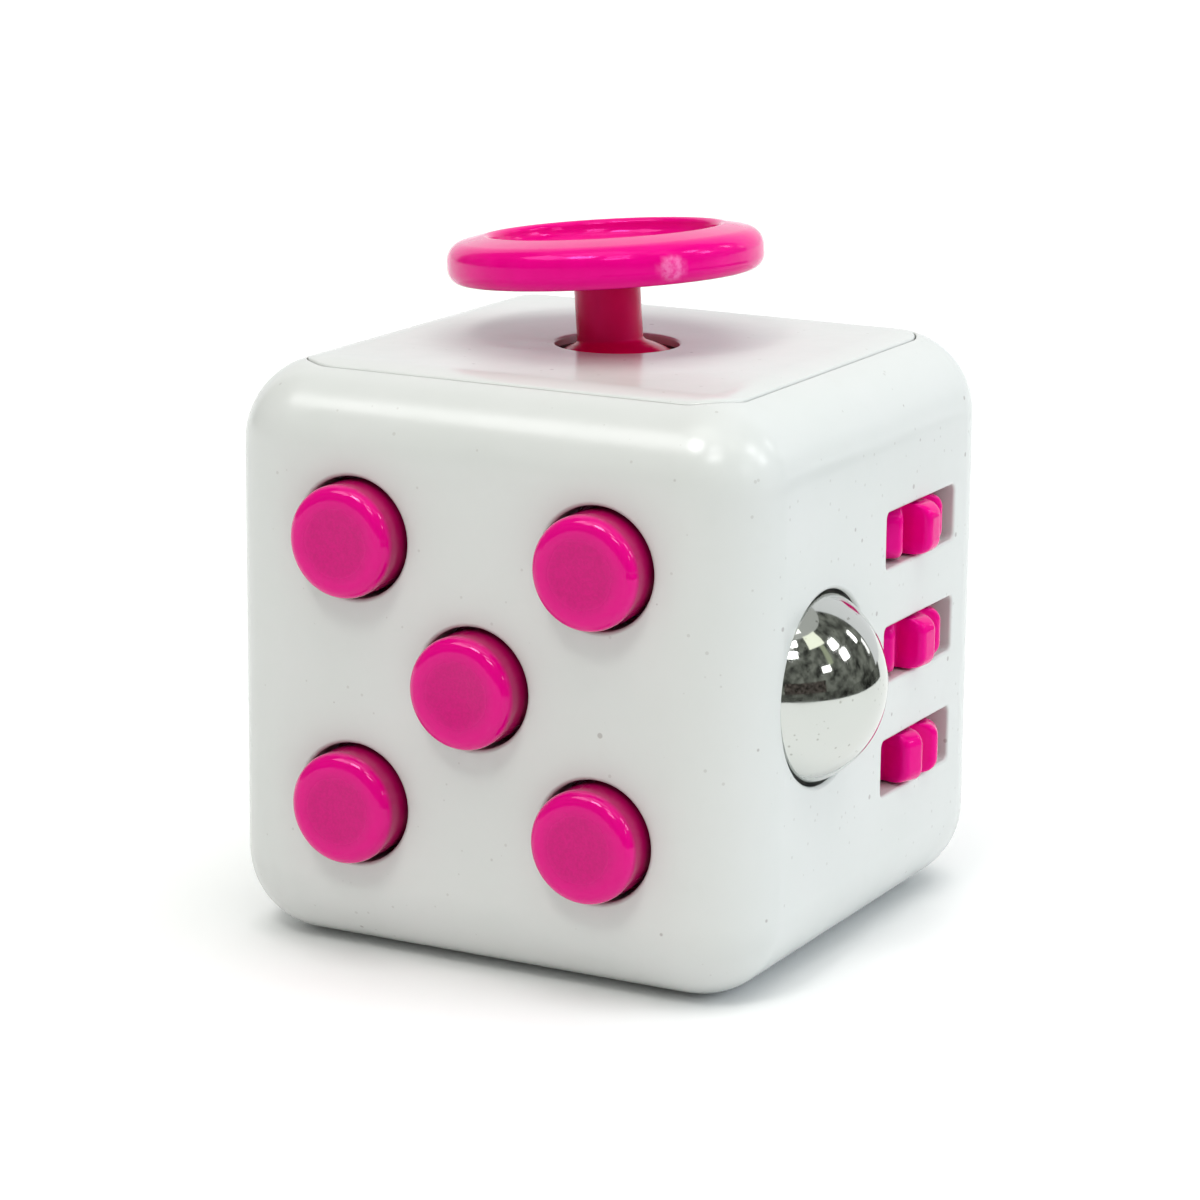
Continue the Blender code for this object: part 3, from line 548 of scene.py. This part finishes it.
def stand_for(obj, node, body):
    """Show a fine piece in place of a CAD node and let it ride on a body."""
    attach(obj, body)
    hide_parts(node)
    return obj


def block(name, material=None):
    """The cube's outer form with finely rounded edges."""
    bm = bmesh.new()
    bmesh.ops.create_cube(bm, size=BODY * MM)
    bmesh.ops.translate(bm, vec=(0, 0, MID * MM), verts=bm.verts)
    bmesh.ops.bevel(
        bm,
        geom=bm.edges[:],
        offset=EDGE_RADIUS * MM,
        offset_type="OFFSET",
        segments=16,
        profile=0.5,
        affect="EDGES",
    )
    return to_object(name, bm, material)


def flared(name, outline, depth, rim, point, axis):
    """Cutter that opens out in a quarter round where it meets the surface at its own height 0.

    outline(grow) gives the section's outline, grown outwards by a distance."""
    rings = [level(outline(0), -depth)]
    for i in range(6):
        angle = math.radians(RIM_DRAFT * i / 5)
        rings.append(level(outline(rim * (1 - math.cos(angle))), -rim * (1 - math.sin(angle))))
    rings.append(level(outline(rim), OVER))
    return lofted(name, rings, point, axis)


def bowl(name, radius, depth, power, point, axis, steps=FINE, rings=16):
    """Cutter for a shallow dish. A power over 1 lets its edge run out smoothly."""
    profile = [(0, 2.0), (radius, 2.0)]
    for i in range(rings + 1):
        share = 1 - i / rings
        profile.append((radius * share, -depth * (1 - share * share) ** power))
    return turned(name, profile, point, axis, None, steps)


# ---- Housing and covers ----
def surface(u, v):
    """Height of the block's rounded top over a point."""
    over_u = max(0.0, abs(u) - (HALF - EDGE_RADIUS))
    over_v = max(0.0, abs(v) - (HALF - EDGE_RADIUS))
    return BODY - EDGE_RADIUS + math.sqrt(max(0.0, EDGE_RADIUS ** 2 - over_u ** 2 - over_v ** 2))


def draped(outline, drop):
    """Ring that follows the block's rounded top, a drop below it."""
    return [(u, v, surface(u, v) - drop) for u, v in outline]


def cover_outline(grow):
    """Outline of a cover, grown outwards by a distance."""
    return rounded_rectangle(COVER_HALF + grow, COVER_HALF + grow, COVER_CORNER + grow, 12)


def hole_outline(grow):
    """Outline of a button's hole, grown outwards by a distance."""
    return circle(CAP_RADIUS + HOLE_GAP + grow, MEDIUM)


def window_outline(grow):
    """Outline of a wheel's window, grown outwards by a distance."""
    return rounded_rectangle(WINDOW_HALF_Z + grow, WINDOW_HALF_Y + grow, WINDOW_CORNER + grow, 6)


def rocker_outline(grow):
    """Outline of the rocker's opening, grown outwards by a distance."""
    return rounded_rectangle(OPENING_HALF_X + grow, OPENING_HALF_Z + grow, OPENING_CORNER + grow, 6)


def pocket_outline(grow):
    """Outline of the dial's pocket, grown outwards by a distance."""
    radius = (high_of("dial").x - low_of("dial").x) / 2
    return circle(radius + DIAL_GAP + grow)


def cover_openings():
    """Cutters for the square openings that the two covers close."""
    mouth = [level(cover_outline(COVER_GAP), BODY - COVER_OPENING)]
    mouth.append(draped(cover_outline(COVER_GAP), COVER_EDGE))
    for angle in EDGE_ANGLES:
        grow = COVER_EDGE * (1 - math.cos(math.radians(angle)))
        drop = COVER_EDGE * (1 - math.sin(math.radians(angle)))
        mouth.append(draped(cover_outline(COVER_GAP + grow), drop))
    mouth.append(level(cover_outline(COVER_GAP + COVER_EDGE), BODY + 1))
    return [lofted("opening_top", mouth), lofted("opening_bottom", mouth, (0, 0, BODY), "-Z")]


def ball_opening():
    """Cutter for the ball's round socket and its softened mouth."""
    ball = middle_of("ball")
    mouth = HALF - ball.x
    opening = math.sqrt(BALL_SOCKET ** 2 - mouth ** 2)
    socket = [(0, mouth + 2), (opening + RIM, mouth + 2)]
    for angle in (1.54, 1.2, 0.9, 0.6, 0.3):
        grow = RIM * (1 - math.cos(angle))
        drop = RIM * (1 - math.sin(angle))
        socket.append((opening + grow, mouth - drop))
    start = math.degrees(math.asin((mouth - RIM) / BALL_SOCKET))
    socket += arc((0, 0), BALL_SOCKET, start, 0, 8)
    socket += [(BALL_SOCKET, SOCKET_BACK), (0, SOCKET_BACK)]
    return turned("ball_socket", socket, ball, "X", None, FINE)


def make_housing():
    """White tube with rounded edges, its wall openings softened at their rims."""
    housing = block("housing_shell", WHITE)
    cavity = rounded_rectangle(HALF - WALL, HALF - WALL, CAVITY_CORNER, 6)
    tools = [lofted("cavity", [level(cavity, CAVITY_END), level(cavity, BODY - CAVITY_END)])]
    tools += cover_openings()
    for name in BUTTONS:
        centre = middle_of("button_" + name)
        place = (centre.x, -HALF, centre.z)
        tools.append(flared("hole_" + name, hole_outline, WALL + OVER, RIM, place, "-Y"))
    tools.append(ball_opening())
    for name in WHEELS:
        centre = Vector(JOINTS["wheel_" + name + "_spin"]["pos_m"]) / MM
        place = (HALF, centre.y, centre.z)
        tools.append(flared("window_" + name, window_outline, CUT_DEPTH, WINDOW_RIM, place, "X"))
    tools.append(bowl("thumb_rest", REST_RADIUS, REST_DEPTH, 1.0, (-HALF, 0, MID), "-X"))
    tools.append(flared("rocker_hole", rocker_outline, CUT_DEPTH, RIM, (0, HALF, MID), "Y"))
    carve(housing, "DIFFERENCE", tools)
    return stand_for(smooth(housing), "main_housing", "root")


def cover(name):
    """Cover plate: its edge is softened and then follows the cube's rounded edge up to the flat."""
    rings = [level(cover_outline(0), BODY - COVER_UNDERSIDE), draped(cover_outline(0), COVER_EDGE)]
    for angle in EDGE_ANGLES:
        inset = COVER_EDGE * (1 - math.cos(math.radians(angle)))
        drop = COVER_EDGE * (1 - math.sin(math.radians(angle)))
        rings.append(draped(cover_outline(-inset), drop))
    for i in range(1, 9):
        rings.append(draped(cover_outline(-COVER_EDGE - COVER_BAND * i), 0))
    return lofted(name, rings, (0, 0, 0), "Z", WHITE)


def make_top_cover():
    """Top cover with its dish, the joystick's hole and the boss under it."""
    panel = cover("top_cover")
    pivot = Vector(JOINTS["joystick_tilt_front_back"]["pos_m"]) / MM
    root = BODY - 1.2
    boss = [(0, root), (SEAT_BOSS_RADIUS, root), (SEAT_BOSS_RADIUS, SEAT_BOSS_END), (0, SEAT_BOSS_END)]
    carve(panel, "UNION", [turned("boss", boss)])
    floor = BODY - DISH_DEPTH - pivot.z + DISH_PUFF
    meet = math.degrees(math.acos(HOLE_RADIUS / SEAT_RADIUS))
    mouth = HOLE_RADIUS + HOLE_FLARE
    bore = [(0, floor + OVER), (mouth, floor + OVER)]
    bore += arc((mouth, floor - HOLE_FLARE), -HOLE_FLARE, -RIM_DRAFT, 0, 6)
    bore += arc((0, 0), SEAT_RADIUS, meet, 5, 10) + [(SEAT_RADIUS, 0), (0, 0)]
    dish = bowl("dish", DISH_RADIUS, DISH_DEPTH, 1.0, (0, 0, BODY), "Z", FINEST)
    carve(panel, "DIFFERENCE", [dish, turned("seat", bore, pivot)])
    return stand_for(smooth(panel), "top_panel", "root")


def make_bottom_cover():
    """Bottom cover with the dial's pocket."""
    panel = cover("bottom_cover")
    turn = Matrix.Rotation(math.pi, 4, "X")
    panel.data.transform(Matrix.Translation((0, 0, BODY * MM)) @ turn)
    boss = [(0, DIAL_BOSS_END), (DIAL_BOSS_RADIUS, DIAL_BOSS_END), (DIAL_BOSS_RADIUS, 1.0), (0, 1.0)]
    carve(panel, "UNION", [turned("boss", boss)])
    pocket = flared("pocket", pocket_outline, DIAL_POCKET_DEPTH, RIM, (0, 0, 0), "-Z")
    bearing = turned("bearing", [(0, 6), (DIAL_BEARING_RADIUS, 6), (DIAL_BEARING_RADIUS, 1), (0, 1)])
    carve(panel, "DIFFERENCE", [pocket, bearing])
    return stand_for(smooth(panel), "bottom_panel", "root")


# ---- Buttons ----
def make_button(name):
    """Button cap: a worn, slightly sunk top, a round shoulder, a skirt and its flange, and a mask of painted shade
    on its side.
    """
    low = low_of("button_" + name)
    centre = (low + high_of("button_" + name)) / 2
    front = -HALF - low.y
    sink = CENTRE_CAP_SINK if name == "centre" else CAP_SINK
    profile = [(0, front - sink)]
    for i in range(1, 12):
        share = i / 12
        profile.append((CAP_FLAT * share, front - sink * (1 - share * share) ** 2))
    for i in range(17):
        share = math.sin(math.radians(90) * i / 16)
        drop = CAP_SHOULDER * (1 - math.sqrt(1 - share ** CAP_SHOULDER_POWER))
        profile.append((CAP_FLAT + (CAP_RADIUS - CAP_FLAT) * share, front - drop))
    end = CAP_BACK - FLANGE_THICKNESS
    profile += [(CAP_RADIUS, CAP_BACK), (FLANGE_RADIUS, CAP_BACK), (FLANGE_RADIUS, end)]
    profile += [(SKIRT_BORE, end), (SKIRT_BORE, SKIRT_FLOOR), (0, SKIRT_FLOOR)]
    cap = turned("cap_" + name, profile, (centre.x, -HALF, centre.z), "-Y", BUTTON_PINK)
    worn = cap.data.attributes.new("worn", "FLOAT", "POINT")
    wall = cap.data.attributes.new("wall", "FLOAT", "POINT")
    for vertex in cap.data.vertices:
        out = -vertex.co.y / MM - HALF
        away = math.hypot(vertex.co.x / MM - centre.x, vertex.co.z / MM - centre.z)
        # Painted shade mask: the side is fully shaded from 1.05 mm behind the cap's face inwards, fading out by
        # 0.45 mm behind it.
        wall.data[vertex.index].value = min(1, max(0, (front - 0.45 - out) / 0.6))
        if out > front - CAP_SHOULDER:
            share = min(1, max(0, (CAP_FLAT + 0.4 - away) / 1.1))
            worn.data[vertex.index].value = share * share * (3 - 2 * share)
    return stand_for(smooth(cap), "button_" + name, "button_" + name)


# ---- Ball ----
def make_ball():
    """Chrome ball."""
    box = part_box("ball")
    radius = (box[1].x - box[0].x) / MM / 2
    rows = arc((0, 0), radius, 90, -90, MEDIUM)
    profile = [(0, radius)] + rows[1:-1] + [(0, -radius)]
    ball = turned("chrome_ball", profile, middle_of("ball"), "X", CHROME, FINEST)
    return stand_for(smooth(ball, 60), "ball", "ball")


# ---- Wheels ----
def lug_outline(reach):
    """Outline of a wheel whose lugs reach to a radius: rounded tips, and flanks that blend into the root."""
    step = 2 * math.pi / LUG_COUNT
    root = math.asin((LUG_HALF + LUG_BLEND) / (WHEEL_ROOT + LUG_BLEND))
    foot = ((WHEEL_ROOT + LUG_BLEND) * math.cos(root), LUG_HALF + LUG_BLEND)
    half = arc((reach - LUG_CORNER, LUG_HALF - LUG_CORNER), LUG_CORNER, 0, 90, 5)
    half += arc(foot, LUG_BLEND, 270, 180 + math.degrees(root), 3)
    half.append((WHEEL_ROOT * math.cos(step * 0.42), WHEEL_ROOT * math.sin(step * 0.42)))
    lug = [(u, -v) for u, v in reversed(half)] + half
    points = []
    for i in range(LUG_COUNT):
        c = math.cos(i * step)
        s = math.sin(i * step)
        points += [(u * c - v * s, u * s + v * c) for u, v in lug]
    return points


def make_wheel(name):
    """Notched wheel whose lugs are rounded at their ends as well as at their tips."""
    centre = Vector(JOINTS["wheel_" + name + "_spin"]["pos_m"]) / MM
    half = (high_of("wheel_" + name).z - low_of("wheel_" + name).z) / 2
    sweep = arc((0, half - LUG_SHOULDER), LUG_SHOULDER, 90, 0, 8)
    rings = [level(lug_outline(WHEEL_RADIUS - LUG_SHOULDER + r), h) for r, h in sweep]
    rings += [[(u, v, -h) for u, v, h in ring] for ring in reversed(rings)]
    bm = bmesh.new()
    loft(bm, rings)
    turn = Matrix.Rotation(math.radians(WHEEL_PHASE[name]), 4, "Z")
    wheel = to_object("thumb_wheel_" + name, bm, PINK, at(centre) @ turn)
    bore = [(0, 3), (WHEEL_BORE, 3), (WHEEL_BORE, -3), (0, -3)]
    carve(wheel, "DIFFERENCE", [turned("bore", bore, centre, "Z", None, COARSE)])
    soften(wheel, 0.1, 2, 50)
    return stand_for(smooth(wheel), "wheel_" + name, "wheel_" + name)


# ---- Joystick ----
def joystick_matrix():
    """Place of the joystick's own frame: at its pivot, leaning as the CAD stem leans."""
    pivot = Vector(JOINTS["joystick_tilt_front_back"]["pos_m"])
    axis = Vector(JOINTS["joystick_tilt_left_right"]["axis"])
    back = Matrix.Rotation(math.atan2(axis.z, axis.y), 4, "X")
    return Matrix.Translation(pivot) @ back @ Matrix.Rotation(math.radians(LEAN), 4, "Y")


def disc_profile():
    """Half section of the disc, from the middle of its top round its rim to the underside."""
    floor = DISC_OPENING - THUMB_FILLET
    shoulder = (DISC_RADIUS - DISC_SHOULDER, DISC_THICKNESS - 0.25 - DISC_SHOULDER)
    socket = STEM_RADIUS + 0.12
    profile = [(0, THUMB_FLOOR)]
    for i in range(1, 9):
        profile.append((floor * i / 8, THUMB_FLOOR + THUMB_CROWN * (i / 8) ** 2))
    profile += arc((floor, THUMB_FLOOR + THUMB_CROWN + THUMB_FILLET), THUMB_FILLET, -90, -12, 8)
    profile += arc((DISC_OPENING + DISC_CREST, DISC_THICKNESS - DISC_CREST), DISC_CREST, 180, DISC_SLOPE, 8)
    profile += arc(shoulder, DISC_SHOULDER, DISC_SLOPE, 0, 14)
    profile += arc((DISC_RADIUS - DISC_CORNER, DISC_CORNER), DISC_CORNER, 0, -90, 10)
    profile += [(3.2, 0.0), (2.9, -0.04), (2.6, -0.18), (socket, -0.22), (socket, 1.0), (0, 1.0)]
    return profile


def make_disc():
    """Joystick disc: a thick rim that slopes up to its crest round a shallow thumb dish."""
    bm = bmesh.new()
    lathe(bm, disc_profile(), 160)
    lift = Matrix.Translation((0, 0, DISC_BOTTOM * MM))
    disc = to_object("joystick_disc", bm, PINK, joystick_matrix() @ lift)
    spin = joystick_matrix() @ Matrix.Rotation(math.radians(GATE_TURN), 4, "Z")
    gate = Vector((DISC_RADIUS, 0, DISC_BOTTOM + GATE_HEIGHT)) * MM
    bump = [(0, 0.09), (0.25, 0.08), (0.45, 0.05), (0.62, -0.05), (0, -0.4)]
    spot = turned("gate_mark", bump, (0, 0, 0), "X", PINK, COARSE)
    spot.data.transform(spin @ Matrix.Translation(gate))
    middle = spin @ gate
    carve(disc, "UNION", [spot])
    scar = disc.data.attributes.new("scar", "FLOAT", "POINT")
    for vertex in disc.data.vertices:
        away = (vertex.co - middle).length / MM
        scar.data[vertex.index].value = min(1, max(0, (0.85 - away) / 0.3))
    return stand_for(smooth(disc), "joystick_cap", "joystick")


def make_stem():
    """Joystick stem and the domed foot that fills the hole in the cover."""
    meet = math.degrees(math.acos((STEM_RADIUS + STEM_FILLET) / STEM_FOOT))
    top = DISC_BOTTOM + STEM_OVERLAP
    profile = [(0, top), (STEM_RADIUS, top), (STEM_RADIUS, 6.2), (STEM_RADIUS + 0.04, 6.08)]
    profile += arc((0, 0), STEM_FOOT, meet, 9, 16) + arc((0, 0), PIVOT_SOCKET, 9, 88, 8)
    profile.append((0, PIVOT_SOCKET))
    bm = bmesh.new()
    lathe(bm, profile)
    # The stem's material holds painted shade: its pink is darkened for the shade under the disc.
    stem = to_object("joystick_post", bm, SHADED_STEM_PINK, joystick_matrix())
    return stand_for(smooth(stem), "joystick_stem", "joystick")


# ---- Rocker and dial ----
def make_rocker():
    """Rocker cap with a V face, round ends and softened edges."""
    joint = JOINTS["rocker_flip"]
    slope = math.tan(math.radians(ROCKER_LEAN))
    a = 1 + slope * slope
    b = 2 * slope * ROCKER_VALLEY
    c = ROCKER_VALLEY ** 2 - ROCKER_RADIUS ** 2
    reach = (-b + math.sqrt(b * b - 4 * a * c)) / (2 * a)
    corner = math.degrees(math.atan2(ROCKER_VALLEY + slope * reach, reach))
    right = arc((0, 0), ROCKER_RADIUS, -ROCKER_LEAN, corner, 14)
    left = [(-u, v) for u, v in reversed(right)]
    face = []
    for i in range(1, 12):
        u = reach * (1 - i / 6)
        face.append((u, ROCKER_VALLEY + slope * math.sqrt(u * u + 0.5)))
    nub = arc((0, -1.6), 1.0, 180, 360, 10)
    base = right[0][1]
    outline = right + face + left + [(-ROCKER_NUB, base)] + nub + [(ROCKER_NUB, base)]
    bm = bmesh.new()
    loft(bm, [level(outline, -ROCKER_HALF_X), level(outline, ROCKER_HALF_X)])
    tilt = Matrix.Rotation(math.radians(ROCKER_LEAN), 4, "X")
    place = Matrix.Translation(Vector(joint["pos_m"])) @ tilt @ TURN["-X"].to_matrix().to_4x4()
    rocker = to_object("rocker_cap", bm, PINK, place)
    pin = [(0, 8), (ROCKER_PIN, 8), (ROCKER_PIN, -8), (0, -8)]
    pivot = Vector(joint["pos_m"]) / MM
    carve(rocker, "DIFFERENCE", [turned("pin", pin, pivot, "X", None, COARSE)])
    soften(rocker, 0.35, 4, 40)
    return stand_for(smooth(rocker), "rocker", "rocker")


def make_dial():
    """Dial with a rounded edge and a thumb dimple."""
    low = low_of("dial")
    high = high_of("dial")
    radius = (high.x - low.x) / 2
    profile = [(0, high.z), (DIAL_HUB_RADIUS, high.z), (DIAL_HUB_RADIUS, DIAL_PLATE_TOP)]
    profile.append((radius, DIAL_PLATE_TOP))
    profile += arc((radius - DIAL_EDGE, low.z + DIAL_EDGE), DIAL_EDGE, 0, -90, 8)
    profile += [(radius - 1.2, low.z), (radius - 1.5, low.z + 0.12), (radius - 1.8, low.z)]
    profile.append((0, low.z))
    dial = turned("thumb_dial", profile, (0, 0, 0), "Z", PINK, FINEST)
    dimple = bowl("dimple", DIMPLE_RADIUS, 1.0, 1.3, (DIMPLE_PLACE, 0, low.z), "-Z", MEDIUM)
    hole = turned("screw_hole", [(0, 6), (0.6, 6), (0.6, 2.45), (0, 2.45)], (0, 0, 0), "Z", None, 24)
    carve(dial, "DIFFERENCE", [dimple, hole])
    return stand_for(smooth(dial), "dial", "dial")


# ---- CAD pieces that stay ----
def paint_cad():
    """Give every CAD node that still shows its procedural material."""
    chosen = {"inner_plastic": GREY, "acetal": ACETAL, "spring_steel": STEEL}
    for entry in frame["record"]["subparts"]:
        node = frame["nodes"][entry["node"]]
        material = chosen.get(entry["material_slot"])
        if material is not None:
            node.data.materials.clear()
            node.data.materials.append(material)


# ---- Stage, lights and camera ----
def sun(name, direction, spread, strength, colour):
    """Broad, even light from a direction."""
    light = bpy.data.lights.new(name, "SUN")
    light.angle = math.radians(spread)
    light.energy = strength
    light.color = colour
    obj = bpy.data.objects.new(name, light)
    obj.rotation_euler = Vector(direction).to_track_quat("Z", "Y").to_euler()
    obj.visible_glossy = False
    bpy.context.scene.collection.objects.link(obj)


def make_floor():
    """Pale floor sheet."""
    bm = bmesh.new()
    bmesh.ops.create_grid(bm, x_segments=1, y_segments=1, size=3.0)
    s = Shader("floor", (0.88, 0.88, 0.88), 0.7)
    s.mix(s.ramp(s.noise(40.0, 2.0), 0.3, 0.7), (0.87, 0.87, 0.875))
    to_object("floor", bm, s.material, Matrix.Translation((0, 0, -0.00002)))


def aim(turn, rise, reach):
    """Point at a compass turn and a rise in degrees, seen from the cube."""
    turn = math.radians(turn)
    rise = math.radians(rise)
    flat = math.cos(rise)
    return Vector((math.cos(turn) * flat, math.sin(turn) * flat, math.sin(rise))) * reach


def make_wall(name, turns, rises, reach, colour, brightness, patchy=0.0):
    """Patch of the room's wall or a window in it, seen only in reflections."""
    bm = bmesh.new()
    across = max(2, round(abs(turns[1] - turns[0]) / 4))
    upward = max(2, round(abs(rises[1] - rises[0]) / 4))
    rows = []
    for j in range(upward + 1):
        rise = rises[0] + (rises[1] - rises[0]) * j / upward
        row = []
        for i in range(across + 1):
            turn = turns[0] + (turns[1] - turns[0]) * i / across
            row.append(bm.verts.new(aim(turn, rise, reach)))
        rows.append(row)
    for below, above in zip(rows, rows[1:]):
        for i in range(across):
            bm.faces.new((below[i], below[i + 1], above[i + 1], above[i]))
    s = Shader(name, (0, 0, 0), 1.0)
    s.set("Specular IOR Level", 0.0)
    s.set("Emission Color", (*colour, 1))
    if patchy:
        glow = s.ramp(s.noise(patchy, 6.0), 0.35, 0.65, 0.15 * brightness, 1.6 * brightness)
        s.links.new(glow, s.bsdf.inputs["Emission Strength"])
    else:
        s.set("Emission Strength", brightness)
    wall = to_object(name, bm, s.material)
    wall.visible_camera = False
    wall.visible_diffuse = False
    wall.visible_shadow = False
    wall.visible_transmission = False


def make_stage():
    """Floor, soft lights and the room that the gloss and the chrome mirror."""
    make_floor()
    world = bpy.data.worlds.new("room")
    world.use_nodes = True
    background = world.node_tree.nodes["Background"]
    background.inputs["Color"].default_value = (0.97, 1.0, 0.96, 1)
    background.inputs["Strength"].default_value = 0.57
    bpy.context.scene.world = world
    sun("ceiling_light", (0.12, -0.02, 1.0), 50, 1.6, (1.0, 1.0, 0.98))
    sun("lamp_row", (0.0, -0.58, 0.81), 14, 0.75, (1.0, 1.0, 0.96))
    sun("side_light", (0.9, 0.4, 0.3), 50, 1.25, (0.76, 0.88, 1.0))
    make_wall("room_wall", (-200, 62), (-1, 60), 2.6, (0.95, 1.0, 0.88), 0.18, 380.0)
    make_wall("sheet_edge", (-64, 60), (0.3, 8), 0.14, (0.95, 1.0, 0.88), 0.12, 22.0)
    make_wall("dark_corner", (-62, -16), (0, 13), 2.5, (1.0, 0.85, 0.76), 0.09, 130.0)
    make_wall("ceiling_panel", (-150, -20), (66, 89), 2.6, (1.0, 1.0, 0.96), 2.4)
    make_wall("pale_wall", (62, 160), (-1, 60), 2.6, (0.96, 0.98, 1.0), 0.95)
    make_wall("round_lamp", (-24, 4), (46, 61), 2.4, (0.97, 1.0, 0.84), 1.5)
    make_wall("lamp_glow", (-7, 0), (26, 50), 2.45, (0.9, 1.0, 0.7), 0.5)
    make_wall("window_upper", (8, 20), (36, 45), 2.4, (1.0, 1.0, 1.0), 10.0)
    make_wall("window_lower", (15, 25), (23, 32), 2.4, (1.0, 1.0, 1.0), 9.0)
    make_wall("window_left", (-17, -6), (20, 26), 2.4, (1.0, 1.0, 1.0), 5.0)
    make_wall("window_right", (46, 51), (24, 34), 2.4, (1.0, 1.0, 1.0), 6.0)
    make_wall("window_far", (56, 60), (10, 20), 2.4, (1.0, 1.0, 1.0), 2.0)
    make_wall("ceiling_front_left", (-150, -112), (44, 62), 2.4, (1.0, 1.0, 1.0), 5.5)
    make_wall("ceiling_front_right", (-64, -40), (52, 59), 2.4, (1.0, 1.0, 1.0), 8.0)
    make_wall("ceiling_middle", (-108, -80), (52, 64), 2.4, (1.0, 1.0, 1.0), 20.0)
    make_wall("ceiling_second_row", (-66, -44), (40, 47), 2.4, (1.0, 1.0, 1.0), 12.0)


def make_camera():
    """Camera at the product shot's angle, looking at the middle of the cube."""
    back = Vector((
        math.sin(CAMERA_TURN) * math.cos(CAMERA_RISE),
        -math.cos(CAMERA_TURN) * math.cos(CAMERA_RISE),
        math.sin(CAMERA_RISE),
    ))
    across = Vector((math.cos(CAMERA_TURN), math.sin(CAMERA_TURN), 0))
    upright = back.cross(across)
    right = across * math.cos(CAMERA_ROLL) + upright * math.sin(CAMERA_ROLL)
    up = upright * math.cos(CAMERA_ROLL) - across * math.sin(CAMERA_ROLL)
    data = bpy.data.cameras.new("camera")
    data.lens = CAMERA_LENS
    data.sensor_width = 36
    data.clip_start = 0.005
    camera = bpy.data.objects.new("camera", data)
    bpy.context.scene.collection.objects.link(camera)
    turn = Matrix((right, up, back)).transposed().to_4x4()
    place = Vector((0, 0, MID * MM)) + back * CAMERA_DISTANCE
    place += right * CAMERA_SLIDE[0] + up * CAMERA_SLIDE[1]
    camera.matrix_world = Matrix.Translation(place) @ turn
    bpy.context.scene.camera = camera


make_camera()
make_housing()
make_top_cover()
make_bottom_cover()
for button in BUTTONS:
    make_button(button)
make_ball()
for wheel in WHEELS:
    make_wheel(wheel)
make_disc()
make_stem()
make_rocker()
make_dial()
paint_cad()
make_stage()
bpy.context.scene.view_settings.view_transform = "Standard"
